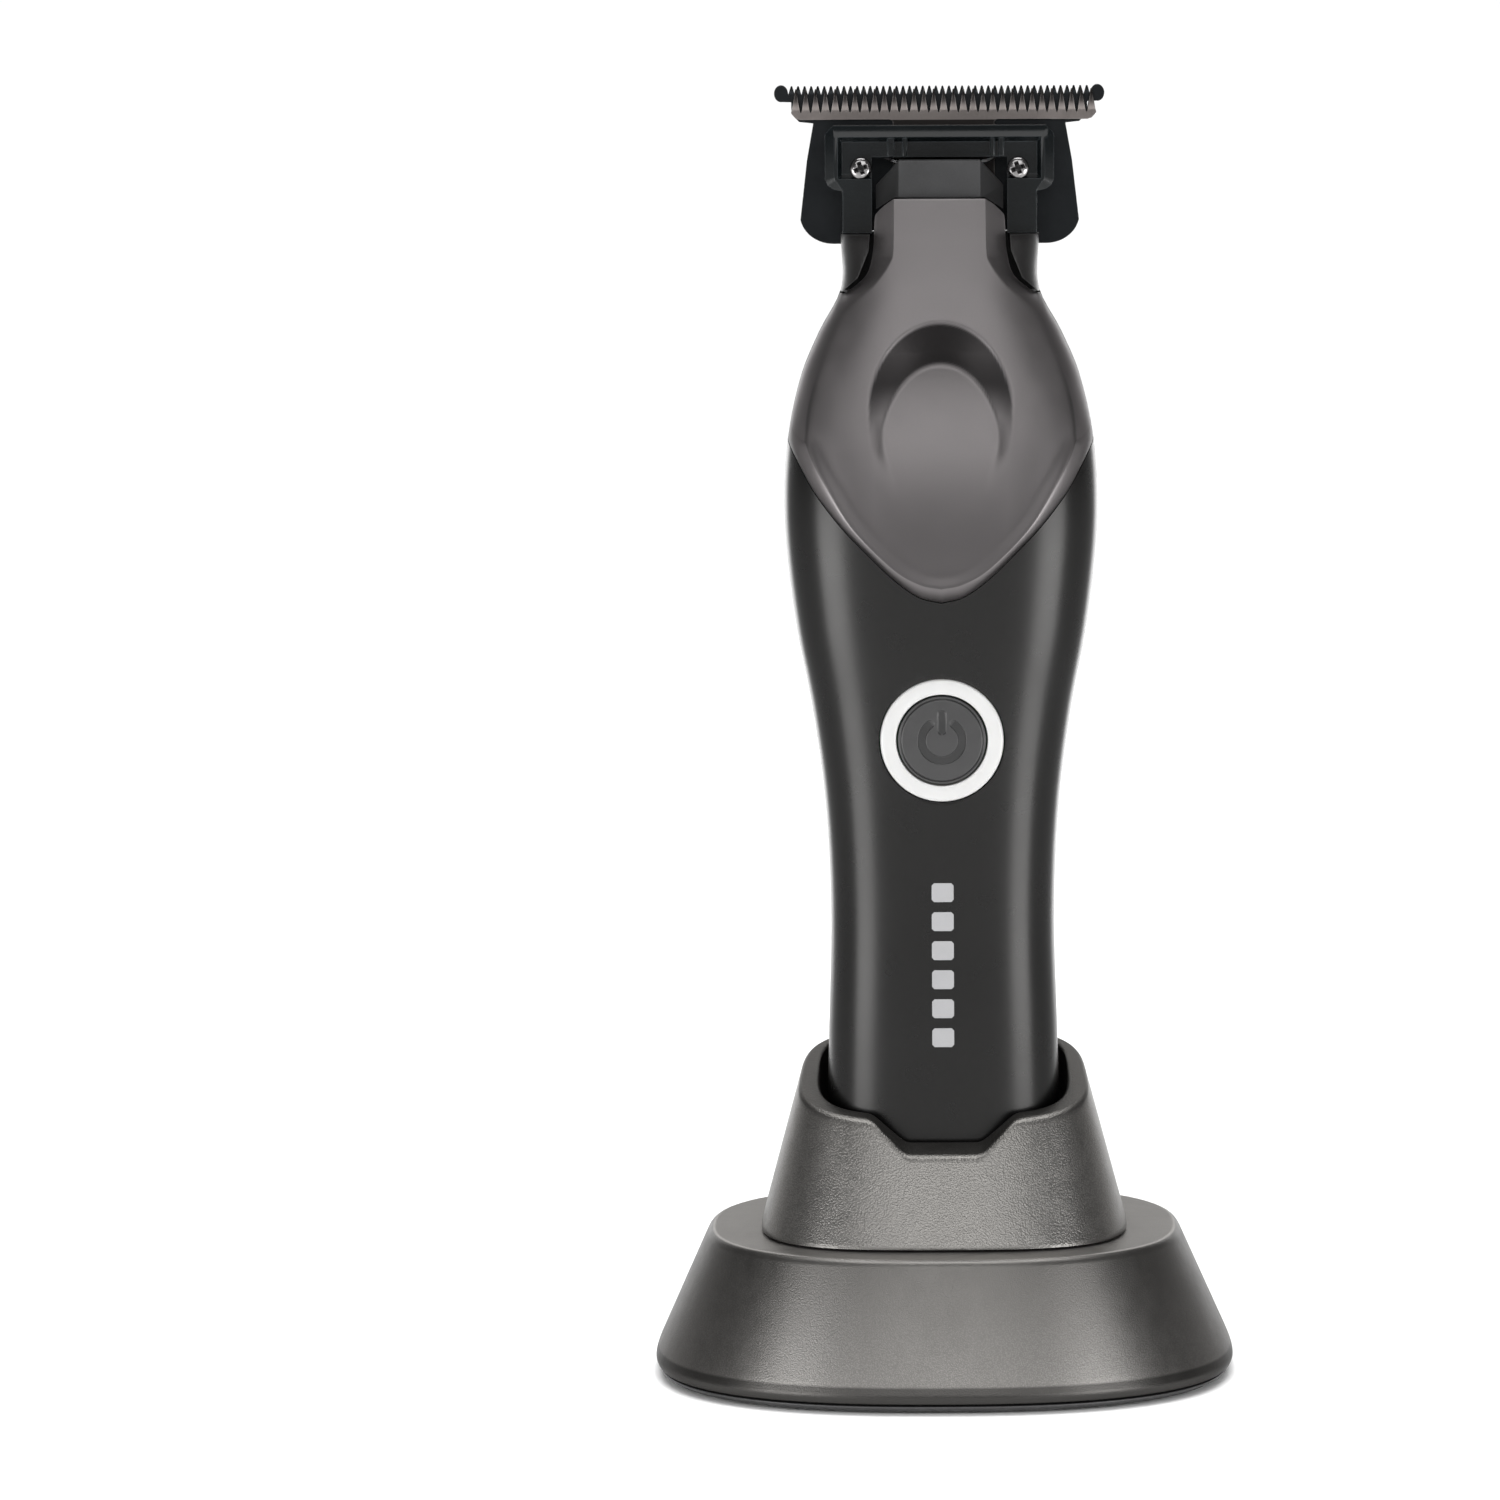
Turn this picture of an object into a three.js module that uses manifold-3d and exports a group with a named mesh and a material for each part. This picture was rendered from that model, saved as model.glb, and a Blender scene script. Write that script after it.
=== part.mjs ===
// A cordless T-blade beard trimmer standing in its charging dock.
// Millimetres, +Z up. The origin is on the floor under the middle of the dock, and the trimmer faces -Y.
import * as THREE from "three";
import { LoftGeometry } from "three/addons/geometries/LoftGeometry.js";
import { mergeVertices } from "three/addons/utils/BufferGeometryUtils.js";
import Module from "manifold-3d";

const wasm = await Module();
wasm.setup();

// ---------------------------------------------------------------- driving dimensions

const gap = 0.3; // between pieces that touch
const half = gap / 2;

// Trimmer body: half width, front depth and back depth at each height.
const bodyStations = [
  { z: 14.6, w: 15.6, front: 12.0, back: 12.0 },
  { z: 30, w: 16.1, front: 12.6, back: 12.6 },
  { z: 47, w: 15.8, front: 12.5, back: 12.4 },
  { z: 64, w: 15.4, front: 12.3, back: 12.0 },
  { z: 79, w: 16.05, front: 12.6, back: 12.2 },
  { z: 92, w: 17.7, front: 13.2, back: 12.7 },
  { z: 104.5, w: 20.0, front: 14.0, back: 13.2 },
  { z: 118, w: 21.4, front: 14.6, back: 13.2 },
  { z: 129, w: 21.0, front: 14.2, back: 12.4 },
  { z: 138, w: 19.1, front: 13.0, back: 10.9 },
  { z: 144, w: 16.6, front: 11.8, back: 9.4 },
  { z: 150, w: 13.55, front: 10.6, back: 8.0 },
  { z: 157.3, w: 13.55, front: 9.8, back: 6.1 },
  { z: 163, w: 13.55, front: 9.4, back: 6.1 },
];
const extraLevels = [98, 111, 123.5, 133.5, 141, 147]; // more rings where the outside curves most
const bodySquareness = 3.5; // superellipse exponent of the body's section
const wall = 2.2;
const fit = wall + 0.5; // inset of the pieces that stand inside the housings
const bottomZ = 14.6; // underside of the trimmer, standing in the dock
const capTop = 17.4; // joint between the bottom cap and the housings
const shoulderZ = 149.6; // where the housings end and the black neck shows
const neckTop = 157.3;
const coverTop = 162.45; // top edge of the front cover
const coverRaise = 1.2; // how far the cover's face stands over the body

// Power button and its light ring, on the front.
const buttonZ = 89;
const buttonFace = -13.25;
const ringOuter = 8.5;
const ringInner = 6.4;
const buttonRadius = 6.1;
const buttonTravel = 0.6;
const boardFront = -8.9; // component side of the control board

// Blade assembly. The plates are upright, the fixed blade at the back.
const cutterFront = 3.3;
const cutterBack = 4.1;
const fixedFront = 4.4;
const fixedBack = 5.6;
const toothRootZ = 174.2;
const fixedTipZ = 177.4;
const cutterTipZ = 177;
const barBottomZ = 172.8;
const fixedTeeth = { count: 46, pitch: 0.9, tip: 0.3, rootZ: 175.9, tipZ: fixedTipZ };
const cutterTeeth = { count: 31, pitch: 1.35, tip: 0.4, rootZ: toothRootZ, tipZ: cutterTipZ };
const eccentricity = 0.8; // half of the cutter's stroke
const restOffset = 0.6; // how far right of centre the cutter stands at rest
const pinRadius = 1.0;
const screwX = 10.7;
const screwZ = 166.4;

// Motor, on the trimmer's own axis.
const motorRadius = 9.6;
const motorBottom = 103;
const motorTop = 131;
const shaftRadius = 1.2;

// Battery: an 18 mm by 50 mm cell.
const cellRadius = 8.9;
const cellBottom = 21.5;
const cellTop = 71.5;

// Charging contacts, shared by the trimmer's base and the dock's pins.
const contactX = 9;

// Dock.
const platformZ = 20.2;
const base = {
  squareness: 2.5,
  profile: [
    { z: 1.5, w: 39.8, d: 35.1 },
    { z: 2.4, w: 40.2, d: 35.5 },
    { z: 3.8, w: 39.7, d: 35.0 },
    { z: 19.6, w: 32.7, d: 29.7 },
    { z: platformZ, w: 32.1, d: 29.1 },
  ],
};
const tower = {
  squareness: 3.2,
  bottomW: 25.4,
  draft: 0.267,
  bottomFront: 24,
  frontDraft: 0.465,
  bottomBack: 21.2,
};
const towerBottom = platformZ + gap;
const towerTop = 47;
const rimZ = 41.45; // height of the sloping rim above the dock's axis
const rimSlope = THREE.MathUtils.degToRad(15.5);
const socket = { squareness: 3.5, w: 17.1, d: 13.7, floor: 14.3, underside: 12.6 };
const dockScrews = [
  [27, 8],
  [-27, 8],
  [27, -8],
  [-27, -8],
];
const dockFeet = [
  [24, 22],
  [-24, 22],
  [24, -22],
  [-24, -22],
];

// ---------------------------------------------------------------- materials

const finish = (color, roughness, metalness) =>
  new THREE.MeshStandardMaterial({ color, roughness, metalness });
const materials = {
  gunmetal: finish(0x3a3b3d, 0.35, 0.5),
  taupe: finish(0x67646a, 0.55, 0.1),
  darkGrey: finish(0x48494b, 0.5, 0.1),
  blackPlastic: finish(0x14171a, 0.25, 0),
  bladeBlack: finish(0x1f2123, 0.35, 0.8),
  bladeGrey: finish(0x6d6663, 0.35, 0.9),
  chrome: finish(0xc8c8c8, 0.15, 1),
  steel: finish(0x9a9a9a, 0.35, 1),
  spring: finish(0xb0b0b0, 0.3, 1),
  whitePlastic: finish(0xf2f2f2, 0.4, 0),
  dock: finish(0x6a6966, 0.35, 0.6),
  dockDark: finish(0x2c2c2d, 0.5, 0),
  rubber: finish(0x181818, 0.9, 0),
  board: finish(0x1c5a34, 0.6, 0),
  gold: finish(0xc9a24a, 0.3, 1),
  cell: finish(0x2f6fa8, 0.5, 0),
  copper: finish(0xb06a3a, 0.4, 1),
};

// ---------------------------------------------------------------- solids

const trimmer = new THREE.Group();

function solidOf(geometry) {
  const bare = new THREE.BufferGeometry().setAttribute("position", geometry.getAttribute("position"));
  bare.setIndex(geometry.index);
  const merged = mergeVertices(bare, 1e-4);
  return new wasm.Manifold(
    new wasm.Mesh({
      numProp: 3,
      vertProperties: merged.attributes.position.array,
      triVerts: new Uint32Array(merged.index.array),
    }),
  );
}

function geometryOf(solid) {
  const mesh = solid.getMesh();
  return new THREE.BufferGeometry()
    .setAttribute("position", new THREE.BufferAttribute(new Float32Array(mesh.vertProperties), 3))
    .setIndex(new THREE.BufferAttribute(new Uint32Array(mesh.triVerts), 1));
}

function add(name, shape, material) {
  const geometry = shape.isBufferGeometry ? shape : geometryOf(shape);
  geometry.computeVertexNormals();
  const mesh = new THREE.Mesh(geometry, material);
  mesh.name = name;
  trimmer.add(mesh);
}

function box([x0, x1], [y0, y1], [z0, z1]) {
  const g = new THREE.BoxGeometry(x1 - x0, y1 - y0, z1 - z0);
  return g.translate((x0 + x1) / 2, (y0 + y1) / 2, (z0 + z1) / 2);
}

// A solid of revolution about a line parallel to Z. Profile points are [radius, z], from bottom to top.
function turned(profile, [x, y] = [0, 0], segments = 16) {
  const points = profile.map(([r, z]) => new THREE.Vector2(r, z));
  return new THREE.LatheGeometry(points, segments).rotateX(Math.PI / 2).translate(x, y, 0);
}

const rod = (r, z0, z1, at, segments) =>
  turned(
    [
      [0, z0],
      [r, z0],
      [r, z1],
      [0, z1],
    ],
    at,
    segments,
  );

const tube = (outer, inner, z0, z1, at, segments) =>
  turned(
    [
      [inner, z0],
      [outer, z0],
      [outer, z1],
      [inner, z1],
      [inner, z0],
    ],
    at,
    segments,
  );

// Turns a piece that was made along Z to run along +Y, with its axis at (x, z).
const alongY = (geometry, x, z) => geometry.rotateX(-Math.PI / 2).translate(x, 0, z);

// An outline drawn in X and Z, extruded from y0 to y1.
function plate(outline, y0, y1) {
  const drawn = outline instanceof THREE.Shape;
  const shape = drawn ? outline : new THREE.Shape(outline.map(([x, z]) => new THREE.Vector2(x, z)));
  const g = new THREE.ExtrudeGeometry(shape, { depth: y1 - y0, bevelEnabled: false, curveSegments: 5 });
  return g.rotateX(Math.PI / 2).translate(0, y1, 0);
}

// An outline drawn in X and Y, extruded from z0 to z1.
function slab(outline, z0, z1) {
  const drawn = outline instanceof THREE.Shape;
  const shape = drawn ? outline : new THREE.Shape(outline.map(([x, y]) => new THREE.Vector2(x, y)));
  const g = new THREE.ExtrudeGeometry(shape, { depth: z1 - z0, bevelEnabled: false, curveSegments: 5 });
  return g.translate(0, 0, z0);
}

// One level ring of a superellipse, whose front and back may differ in depth.
function ring(w, front, back, squareness, z, count = 28) {
  const power = 2 / squareness;
  const points = [];
  for (let i = 0; i < count; i++) {
    const angle = ((i + 0.5) / count) * 2 * Math.PI;
    const c = Math.cos(angle);
    const s = Math.sin(angle);
    const depth = s < 0 ? front : back;
    points.push(
      new THREE.Vector3(
        w * Math.sign(c) * Math.abs(c) ** power,
        depth * Math.sign(s) * Math.abs(s) ** power,
        z,
      ),
    );
  }
  return points;
}

const loft = (sections) => new LoftGeometry(sections, { capStart: true, capEnd: true });

// The body's half width, front and back depth at any height: a Catmull-Rom curve through the stations.
function bodyAt(z) {
  const last = bodyStations.length - 1;
  if (z <= bodyStations[0].z) return bodyStations[0];
  if (z >= bodyStations[last].z) return bodyStations[last];
  const i = bodyStations.findIndex((s) => s.z > z) - 1;
  const [a, b] = [bodyStations[i], bodyStations[i + 1]];
  const before = bodyStations[Math.max(i - 1, 0)];
  const after = bodyStations[Math.min(i + 2, last)];
  const span = b.z - a.z;
  const t = (z - a.z) / span;
  const blend = (key) => {
    const startSlope = ((b[key] - before[key]) / (b.z - before.z)) * span;
    const endSlope = ((after[key] - a[key]) / (after.z - a.z)) * span;
    return (
      (2 * t ** 3 - 3 * t ** 2 + 1) * a[key] +
      (t ** 3 - 2 * t ** 2 + t) * startSlope +
      (3 * t ** 2 - 2 * t ** 3) * b[key] +
      (t ** 3 - t ** 2) * endSlope
    );
  };
  return { z, w: blend("w"), front: blend("front"), back: blend("back") };
}

// The body's outer form between two heights, drawn in by inset on every side.
function bodyForm(z0, z1, inset, { count = 28, extra = extraLevels } = {}) {
  const levels = [...bodyStations.map((s) => s.z), ...extra].filter((z) => z > z0 + 1 && z < z1 - 1);
  const heights = [z0, ...levels.sort((a, b) => a - b), z1];
  const sections = heights.map((z) => {
    const { w, front, back } = bodyAt(z);
    return ring(w - inset, front - inset, back - inset, bodySquareness, z, count);
  });
  return loft(sections);
}

// The same form with fewer sides, for the inside of the housings and the pieces that fit in it.
const innerForm = (z0, z1, inset) => bodyForm(z0, z1, inset, { count: 20, extra: [] });

// A shell of the body's form, from outer inset to inner inset, open at both ends.
const bodyShell = (z0, z1, outer, inner) =>
  solidOf(bodyForm(z0, z1, outer)).subtract(solidOf(innerForm(z0 - 1, z1 + 1, inner)));

const frontHalf = () => solidOf(box([-50, 50], [-50, -half], [0, 200]));
const rearHalf = () => solidOf(box([-50, 50], [half, 50], [0, 200]));

// A pan-head screw along +Z: the head's top is at z = 0, and the shank runs down.
function screw(headRadius, headHeight, shankRadius, length) {
  const profile = [
    [0, -length],
    [shankRadius, -length],
    [shankRadius, -headHeight],
    [headRadius, -headHeight],
    [headRadius, -headHeight / 3],
    [headRadius * 0.7, 0],
    [headRadius * 0.45, 0],
    [0, -headHeight * 0.6],
  ];
  return turned(profile, [0, 0], 8);
}

// ---------------------------------------------------------------- trimmer: shells

// Half of the front cover's lower edge and of its flat face, from the bottom upwards, as [x, z].
const coverEdge = [
  [0, 107.9],
  [3.1, 108.7],
  [6.6, 111.2],
  [10.1, 114.6],
  [13.6, 118.2],
  [17.1, 122.7],
  [19.4, 126.7],
  [21.2, 130],
];
const faceEdge = [
  [0, 109.7],
  [2.6, 110.2],
  [6.6, 112.9],
  [11.8, 118.1],
  [16, 125.6],
  [17.3, 129.6],
  [16.4, 135.5],
  [13.6, 142.8],
  [11, 147],
  [7.4, 151],
  [5.4, 155],
  [5.4, 190],
];

// Both halves of an outline that is the same on the left and on the right.
function bothSides(half) {
  const shared = half[0][0] === 0 ? 1 : 0;
  return [...half, ...half.slice(shared).map(([x, z]) => [-x, z]).reverse()];
}

function coverPrism(grow) {
  const lower = coverEdge.map(([x, z]) => [x, z - grow]);
  const upper = [
    [24, 130 - grow],
    [24, 148.2 + grow],
    [13.8 + grow, 149.2 + grow],
    [11.1 + grow, 151.7],
    [9.6 + grow, 155.4],
    [9.1 + grow, 160.3 + grow],
    [6.1 + grow / 2, coverTop + grow],
  ];
  return solidOf(plate(bothSides([...lower, ...upper]), -30, -half + grow));
}

// A prism whose walls open out towards the back, so that the face's edge comes out bevelled.
function facePrism() {
  const centre = 133;
  const sections = [-4, -20].map((y) => {
    const k = 1 + (y + 13) / 17.5;
    return bothSides(faceEdge).map(([x, z]) => new THREE.Vector3(x * k, y, centre + (z - centre) * k));
  });
  return solidOf(loft(sections)).intersect(solidOf(box([-30, 30], [-30, -8.4], [100, 200])));
}

// A scoop for the thumb in the cover's face: an ellipsoid leaning back, so that it is deepest near its top.
function thumbScoop(grow = 0) {
  const scoop = new THREE.SphereGeometry(1, 16, 10);
  scoop.scale(10.6 + grow, 4.9 + grow, 19 + grow);
  scoop.rotateX(THREE.MathUtils.degToRad(-11));
  return solidOf(scoop.translate(0, -17.3, 128.5));
}

function frontCover() {
  const skin = bodyShell(100, coverTop, 0, wall);
  const raised = bodyShell(100, coverTop, -coverRaise, 1);
  const face = raised.intersect(facePrism()).intersect(coverPrism(-0.3));
  const backing = thumbScoop(1.2).intersect(solidOf(innerForm(110, 148, 1)));
  return skin.intersect(coverPrism(0)).add(face).add(backing).subtract(thumbScoop());
}

const caseScrews = [
  [11.6, 26],
  [-11.6, 26],
  [11.3, 66],
  [-11.3, 66],
];
const screwSeatY = 7.4; // where the screw heads bear in the rear housing

// Adds the posts that the case screws pass through, from y0 to y1.
function withPosts(shell, y0, y1) {
  const across = (r, from, to, [x, z]) => solidOf(alongY(rod(r, from, to, [0, 0], 10), x, z));
  const inside = solidOf(innerForm(20, 80, 1));
  let solid = shell;
  for (const at of caseScrews) solid = solid.add(across(2, y0, y1, at).intersect(inside));
  for (const at of caseScrews) {
    solid = solid.subtract(across(1.1, -9.5, 20, at)).subtract(across(1.75, screwSeatY, 20, at));
  }
  return solid;
}

function frontHousing() {
  const shell = bodyShell(capTop + gap, 136, 0, wall).intersect(frontHalf());
  const buttonHole = solidOf(alongY(rod(ringOuter + gap, -20, -5, [0, 0], 20), 0, buttonZ));
  return withPosts(shell.subtract(coverPrism(gap)).subtract(buttonHole), -20, -half);
}

// A tongue inside both side walls that bridges the seam between the housings, between two heights.
function seamTongue(z0, z1) {
  const overlap = 1.5;
  const depth = wall + 0.8;
  const strip = (inset, y0, y1) =>
    solidOf(innerForm(z0, z1, inset))
      .subtract(solidOf(innerForm(z0 - 1, z1 + 1, depth)))
      .intersect(solidOf(box([-50, 50], [y0, y1], [0, 200])));
  return strip(wall - 0.3, half, overlap).add(strip(wall + 0.15, -overlap, half));
}

function rearHousing() {
  const shell = bodyShell(capTop + gap, shoulderZ, 0, wall).intersect(rearHalf());
  return withPosts(shell, half, 20).add(seamTongue(30, 62)).add(seamTongue(70, 97));
}

function bottomCap() {
  const rim = { ...bodyAt(bottomZ) };
  const inset = 0.8;
  const sections = [
    ring(rim.w - inset, rim.front - inset, rim.back - inset, bodySquareness, bottomZ),
    ring(rim.w, rim.front, rim.back, bodySquareness, bottomZ + inset),
    ring(bodyAt(capTop).w, bodyAt(capTop).front, bodyAt(capTop).back, bodySquareness, capTop),
  ];
  const lip = innerForm(capTop - 1, 20, fit);
  const hollow = innerForm(16.2, 21, fit + 1.4);
  let cap = solidOf(loft(sections)).add(solidOf(lip)).subtract(solidOf(hollow));
  for (const x of [contactX, -contactX]) cap = cap.subtract(solidOf(rod(1.8, 10, 18, [x, 0], 12)));
  return cap.subtract(solidOf(box([-4.8, 4.8], [-1.95, 1.95], [10, 18])));
}

add("front_cover", frontCover(), materials.taupe);
add("front_housing", frontHousing(), materials.gunmetal);
add("rear_housing", rearHousing(), materials.gunmetal);
add("bottom_cap", bottomCap(), materials.darkGrey);

for (const [i, [x, z]] of caseScrews.entries()) {
  const shank = screw(1.5, 1.1, 0.8, 16.6);
  add("case_screw_" + (i + 1), alongY(shank, x, z).translate(0, screwSeatY + 1.2, 0), materials.steel);
}

// ---------------------------------------------------------------- trimmer: neck and nose

// The black neck: a sleeve that plugs into the housings, with a floor that the drive pin passes through.
function neck() {
  const spigot = solidOf(innerForm(143.2, shoulderZ + 1, fit));
  const hollow = solidOf(innerForm(142, neckTop - 1.6, fit + 1.5));
  const collar = solidOf(bodyForm(shoulderZ + gap, neckTop, 0));
  const whole = spigot.add(collar).subtract(hollow);
  const camHole = solidOf(rod(4.4, 150, 160));
  return whole.subtract(coverPrism(gap)).subtract(camHole);
}

// The faceted nose between the front cover and the blade, closed on top.
function noseCap() {
  const facets = (width, front, edge, back) => [
    [-width, back],
    [-width, -edge],
    [-width * 0.64, -front],
    [width * 0.64, -front],
    [width, -edge],
    [width, back],
  ];
  const corners = plate([[5.5, 167.6], [8.9, 163.9], [12, 160], [12, 175], [5.5, 175]], -20, 10);
  let skin = solidOf(slab(facets(8.65, 9.3, 5.4, -4.9), 159.6, 167.6)).subtract(coverPrism(gap));
  skin = skin.subtract(solidOf(corners.clone())).subtract(solidOf(corners).mirror([1, 0, 0]));
  const skirt = slab(facets(7.3, 6.9, 5.6, -4.9), 158, coverTop + 1.5);
  const hollow = slab(facets(6.2, 5.7, 5.3, 0), 150, 166.4);
  return skin.add(solidOf(skirt)).subtract(solidOf(hollow));
}

add("neck", neck(), materials.blackPlastic);
add("nose_cap", noseCap(), materials.darkGrey);

// ---------------------------------------------------------------- trimmer: blade assembly

// A row of flat-topped wedge teeth from left to right, as outline points.
function toothRow({ count, pitch, tip, rootZ, tipZ }, centre = 0) {
  const points = [];
  const left = centre - (count * pitch) / 2;
  for (let i = 0; i < count; i++) {
    const x = left + i * pitch;
    points.push([x, rootZ]);
    points.push([x + (pitch - tip) / 2, tipZ]);
    points.push([x + (pitch + tip) / 2, tipZ]);
  }
  points.push([left + count * pitch, rootZ]);
  return points;
}

const mirrored = (points) => points.map(([x, z]) => [-x, z]).reverse();

// A round corner from one direction to another, in a few straight steps.
function corner(cx, cz, rx, rz, fromDegrees, toDegrees, steps = 5) {
  const points = [];
  for (let i = 0; i <= steps; i++) {
    const a = THREE.MathUtils.degToRad(fromDegrees + ((toDegrees - fromDegrees) * i) / steps);
    points.push([cx + rx * Math.cos(a), cz + rz * Math.sin(a)]);
  }
  return points;
}

// The fixed blade: a toothed bar with a hook at each end, on a plate whose wings spread downwards.
function fixedBlade() {
  const hook = corner(21.7, 176.4, 0.95, 1.15, 170, -100, 9);
  const wing = corner(14.6, 159.8, 4.6, 4, 350, 270, 6);
  const right = [...hook, [20.3, 175.2], [20.3, 174], [19.9, barBottomZ + 0.4], [19.2, barBottomZ - 0.3]];
  right.push([17.3, barBottomZ - 0.5], [18.2, 167.2], ...wing, [12.7, 155.8], [12.7, neckTop + gap]);
  const outline = [...toothRow(fixedTeeth), [20.75, fixedTeeth.rootZ], ...right, ...mirrored(right)];
  outline.push([-20.75, fixedTeeth.rootZ]);
  let blade = solidOf(plate(outline, fixedFront, fixedBack));
  for (const x of [screwX, -screwX]) {
    blade = blade.subtract(solidOf(alongY(rod(1.15, 0, 10, [0, 0], 10), x, screwZ)));
  }
  return blade;
}

// The cutter: a toothed strip on a tongue that carries the drive yoke.
function cutterBlade() {
  const c = restOffset;
  const right = [
    [c + 20.93, toothRootZ],
    [c + 20.6, 173.4],
    [c + 20.0, barBottomZ],
    [c + 7, barBottomZ],
    [c + 7, 159.2],
  ];
  const left = right.map(([x, z]) => [2 * c - x, z]).reverse();
  return plate([...toothRow(cutterTeeth, c), ...right, ...left], cutterFront, cutterBack);
}

// The yoke on the cutter's tongue. Its slot runs front to back, so the pin only pushes it sideways.
function cutterYoke() {
  const slotHalf = pinRadius + 2 * eccentricity + 0.15;
  const body = box([restOffset - 5, restOffset + 5], [-3.3, cutterFront - gap], [158.8, 166.2]);
  const slot = box([restOffset - slotHalf, restOffset + slotHalf], [-2.4, 2.4], [150, 164.9]);
  return solidOf(body).subtract(solidOf(slot));
}

// The black frame that holds the blades, open in the middle for the nose and the yoke.
function bladeBracket() {
  const bevel = 1;
  const outer = [
    [-13.4, 157.6],
    [13.4, 157.6],
    [13.4, 163.3],
    [14.6, 163.7],
    [15.6, 164.7],
    [15.6, 172.2 - bevel],
    [15.6 - bevel, 172.2],
    [-15.6 + bevel, 172.2],
    [-15.6, 172.2 - bevel],
    [-15.6, 164.7],
    [-14.6, 163.7],
    [-13.4, 163.3],
  ];
  const opening = box([-9.2, 9.2], [-10, 10], [150, 167.9]);
  const cutterRoom = box([-9.2, 9.2], [cutterFront - gap, 10], [150, 180]);
  const tray = box([-14.4, 14.4], [-10, -3.8], [164.5, 171]);
  let frame = solidOf(plate(outer, -4.5, fixedFront - gap)).subtract(solidOf(opening));
  frame = frame.subtract(solidOf(cutterRoom)).subtract(solidOf(tray));
  frame = frame.subtract(solidOf(box([-20, 20], [cutterFront - gap, 10], [171.4, 180])));
  for (const x of [screwX, -screwX]) {
    frame = frame.subtract(solidOf(alongY(rod(1.15, -10, 10, [0, 0], 10), x, screwZ)));
    frame = frame.add(solidOf(box([x * 0.56 - 0.4, x * 0.56 + 0.4], [-4.5, -3.8], [167.9, 171.2])));
  }
  return frame;
}

// A wire spring across the frame that presses the cutter against the fixed blade.
function cutterSpring() {
  const path = new THREE.CatmullRomCurve3([
    new THREE.Vector3(-8.6, 1.2, 171),
    new THREE.Vector3(-8.4, 2, 168.6),
    new THREE.Vector3(-6.4, 2.5, 167.2),
    new THREE.Vector3(0, 2.55, 167),
    new THREE.Vector3(6.4, 2.5, 167.2),
    new THREE.Vector3(8.4, 2, 168.6),
    new THREE.Vector3(8.6, 1.2, 171),
  ]);
  return wire(path, 0.3, 14, 5);
}

// A round wire of a few flat sides along a curve.
function wire(path, radius, steps, sides = 6) {
  const section = new THREE.Shape(
    Array.from({ length: sides }, (_, i) => {
      const a = (i / sides) * 2 * Math.PI;
      return new THREE.Vector2(radius * Math.cos(a), radius * Math.sin(a));
    }),
  );
  return new THREE.ExtrudeGeometry(section, { steps, extrudePath: path });
}

add("fixed_blade", fixedBlade(), materials.bladeBlack);
add("cutter_blade", cutterBlade(), materials.bladeGrey);
add("cutter_yoke", cutterYoke(), materials.whitePlastic);
add("blade_bracket", bladeBracket(), materials.blackPlastic);
add("cutter_spring", solidOf(cutterSpring()).subtract(solidOf(bladeBracketRoom())), materials.spring);

// The part of the spring's ends that would reach into the frame is cut off flush with it.
function bladeBracketRoom() {
  return box([-20, 20], [-10, 3], [167.6, 180]);
}

for (const [side, x] of [
  ["left", -screwX],
  ["right", screwX],
]) {
  const shank = screw(1.5, 0.9, 0.8, 9.6);
  const placed = alongY(shank.rotateX(Math.PI), x, screwZ).translate(0, -4.9, 0);
  add("blade_screw_" + side, placed, materials.chrome);
}

// ---------------------------------------------------------------- trimmer: drive

function motorCan() {
  const can = turned([
    [motorRadius - 1, motorBottom],
    [motorRadius, motorBottom],
    [motorRadius, motorTop - 0.8],
    [motorRadius - 0.8, motorTop],
    [3.4, motorTop],
    [3.4, motorTop - 1.6],
    [motorRadius - 1, motorTop - 1.6],
    [motorRadius - 1, motorBottom],
  ]);
  let solid = solidOf(can);
  for (const x of [6, -6]) solid = solid.subtract(solidOf(rod(1.1, 125, 140, [x, 0], 12)));
  return solid;
}

function motorMount() {
  const disc = solidOf(innerForm(motorTop + gap, motorTop + gap + 1.8, fit));
  const reach = solidOf(box([-30, 30], [-9.8, 30], [120, 140]));
  let mount = disc.intersect(reach).subtract(solidOf(rod(4, 120, 140)));
  for (const x of [6, -6]) mount = mount.subtract(solidOf(rod(1.1, 125, 140, [x, 0], 12)));
  return mount;
}

// The inner frame: a bulkhead between cell and motor, and a wall that backs the control board.
function innerFrame() {
  const bulkhead = solidOf(innerForm(98.4, 100.2, fit));
  const backing = solidOf(box([-9.5, 9.5], [boardFront + 1.5, boardFront + 2.9], [74.5, 99]));
  return bulkhead.add(backing).subtract(solidOf(rod(1.6, 90, 110, [0, 7.5], 12)));
}

const bearing = (z0, z1) => tube(3.1, 1.4, z0, z1);
const restAngle = Math.asin(restOffset / eccentricity);
const pinAt = [restOffset, eccentricity * Math.cos(restAngle)];

// The cam: a long hub on the shaft, a disc with a flat that balances it, and an off-centre pin.
function eccentricCam() {
  const hub = turned([
    [0, 135],
    [2.6, 135],
    [2.6, 151.4],
    [3.6, 151.4],
    [3.6, 156.4],
    [0, 156.4],
  ]);
  const flat = solidOf(box([-5, 5], [2.9, 6], [150, 155]));
  const pin = solidOf(rod(pinRadius, 156, 164, pinAt, 12));
  return solidOf(hub).subtract(flat).add(pin).subtract(solidOf(rod(shaftRadius + 0.1, 130, 154.6)));
}

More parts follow.
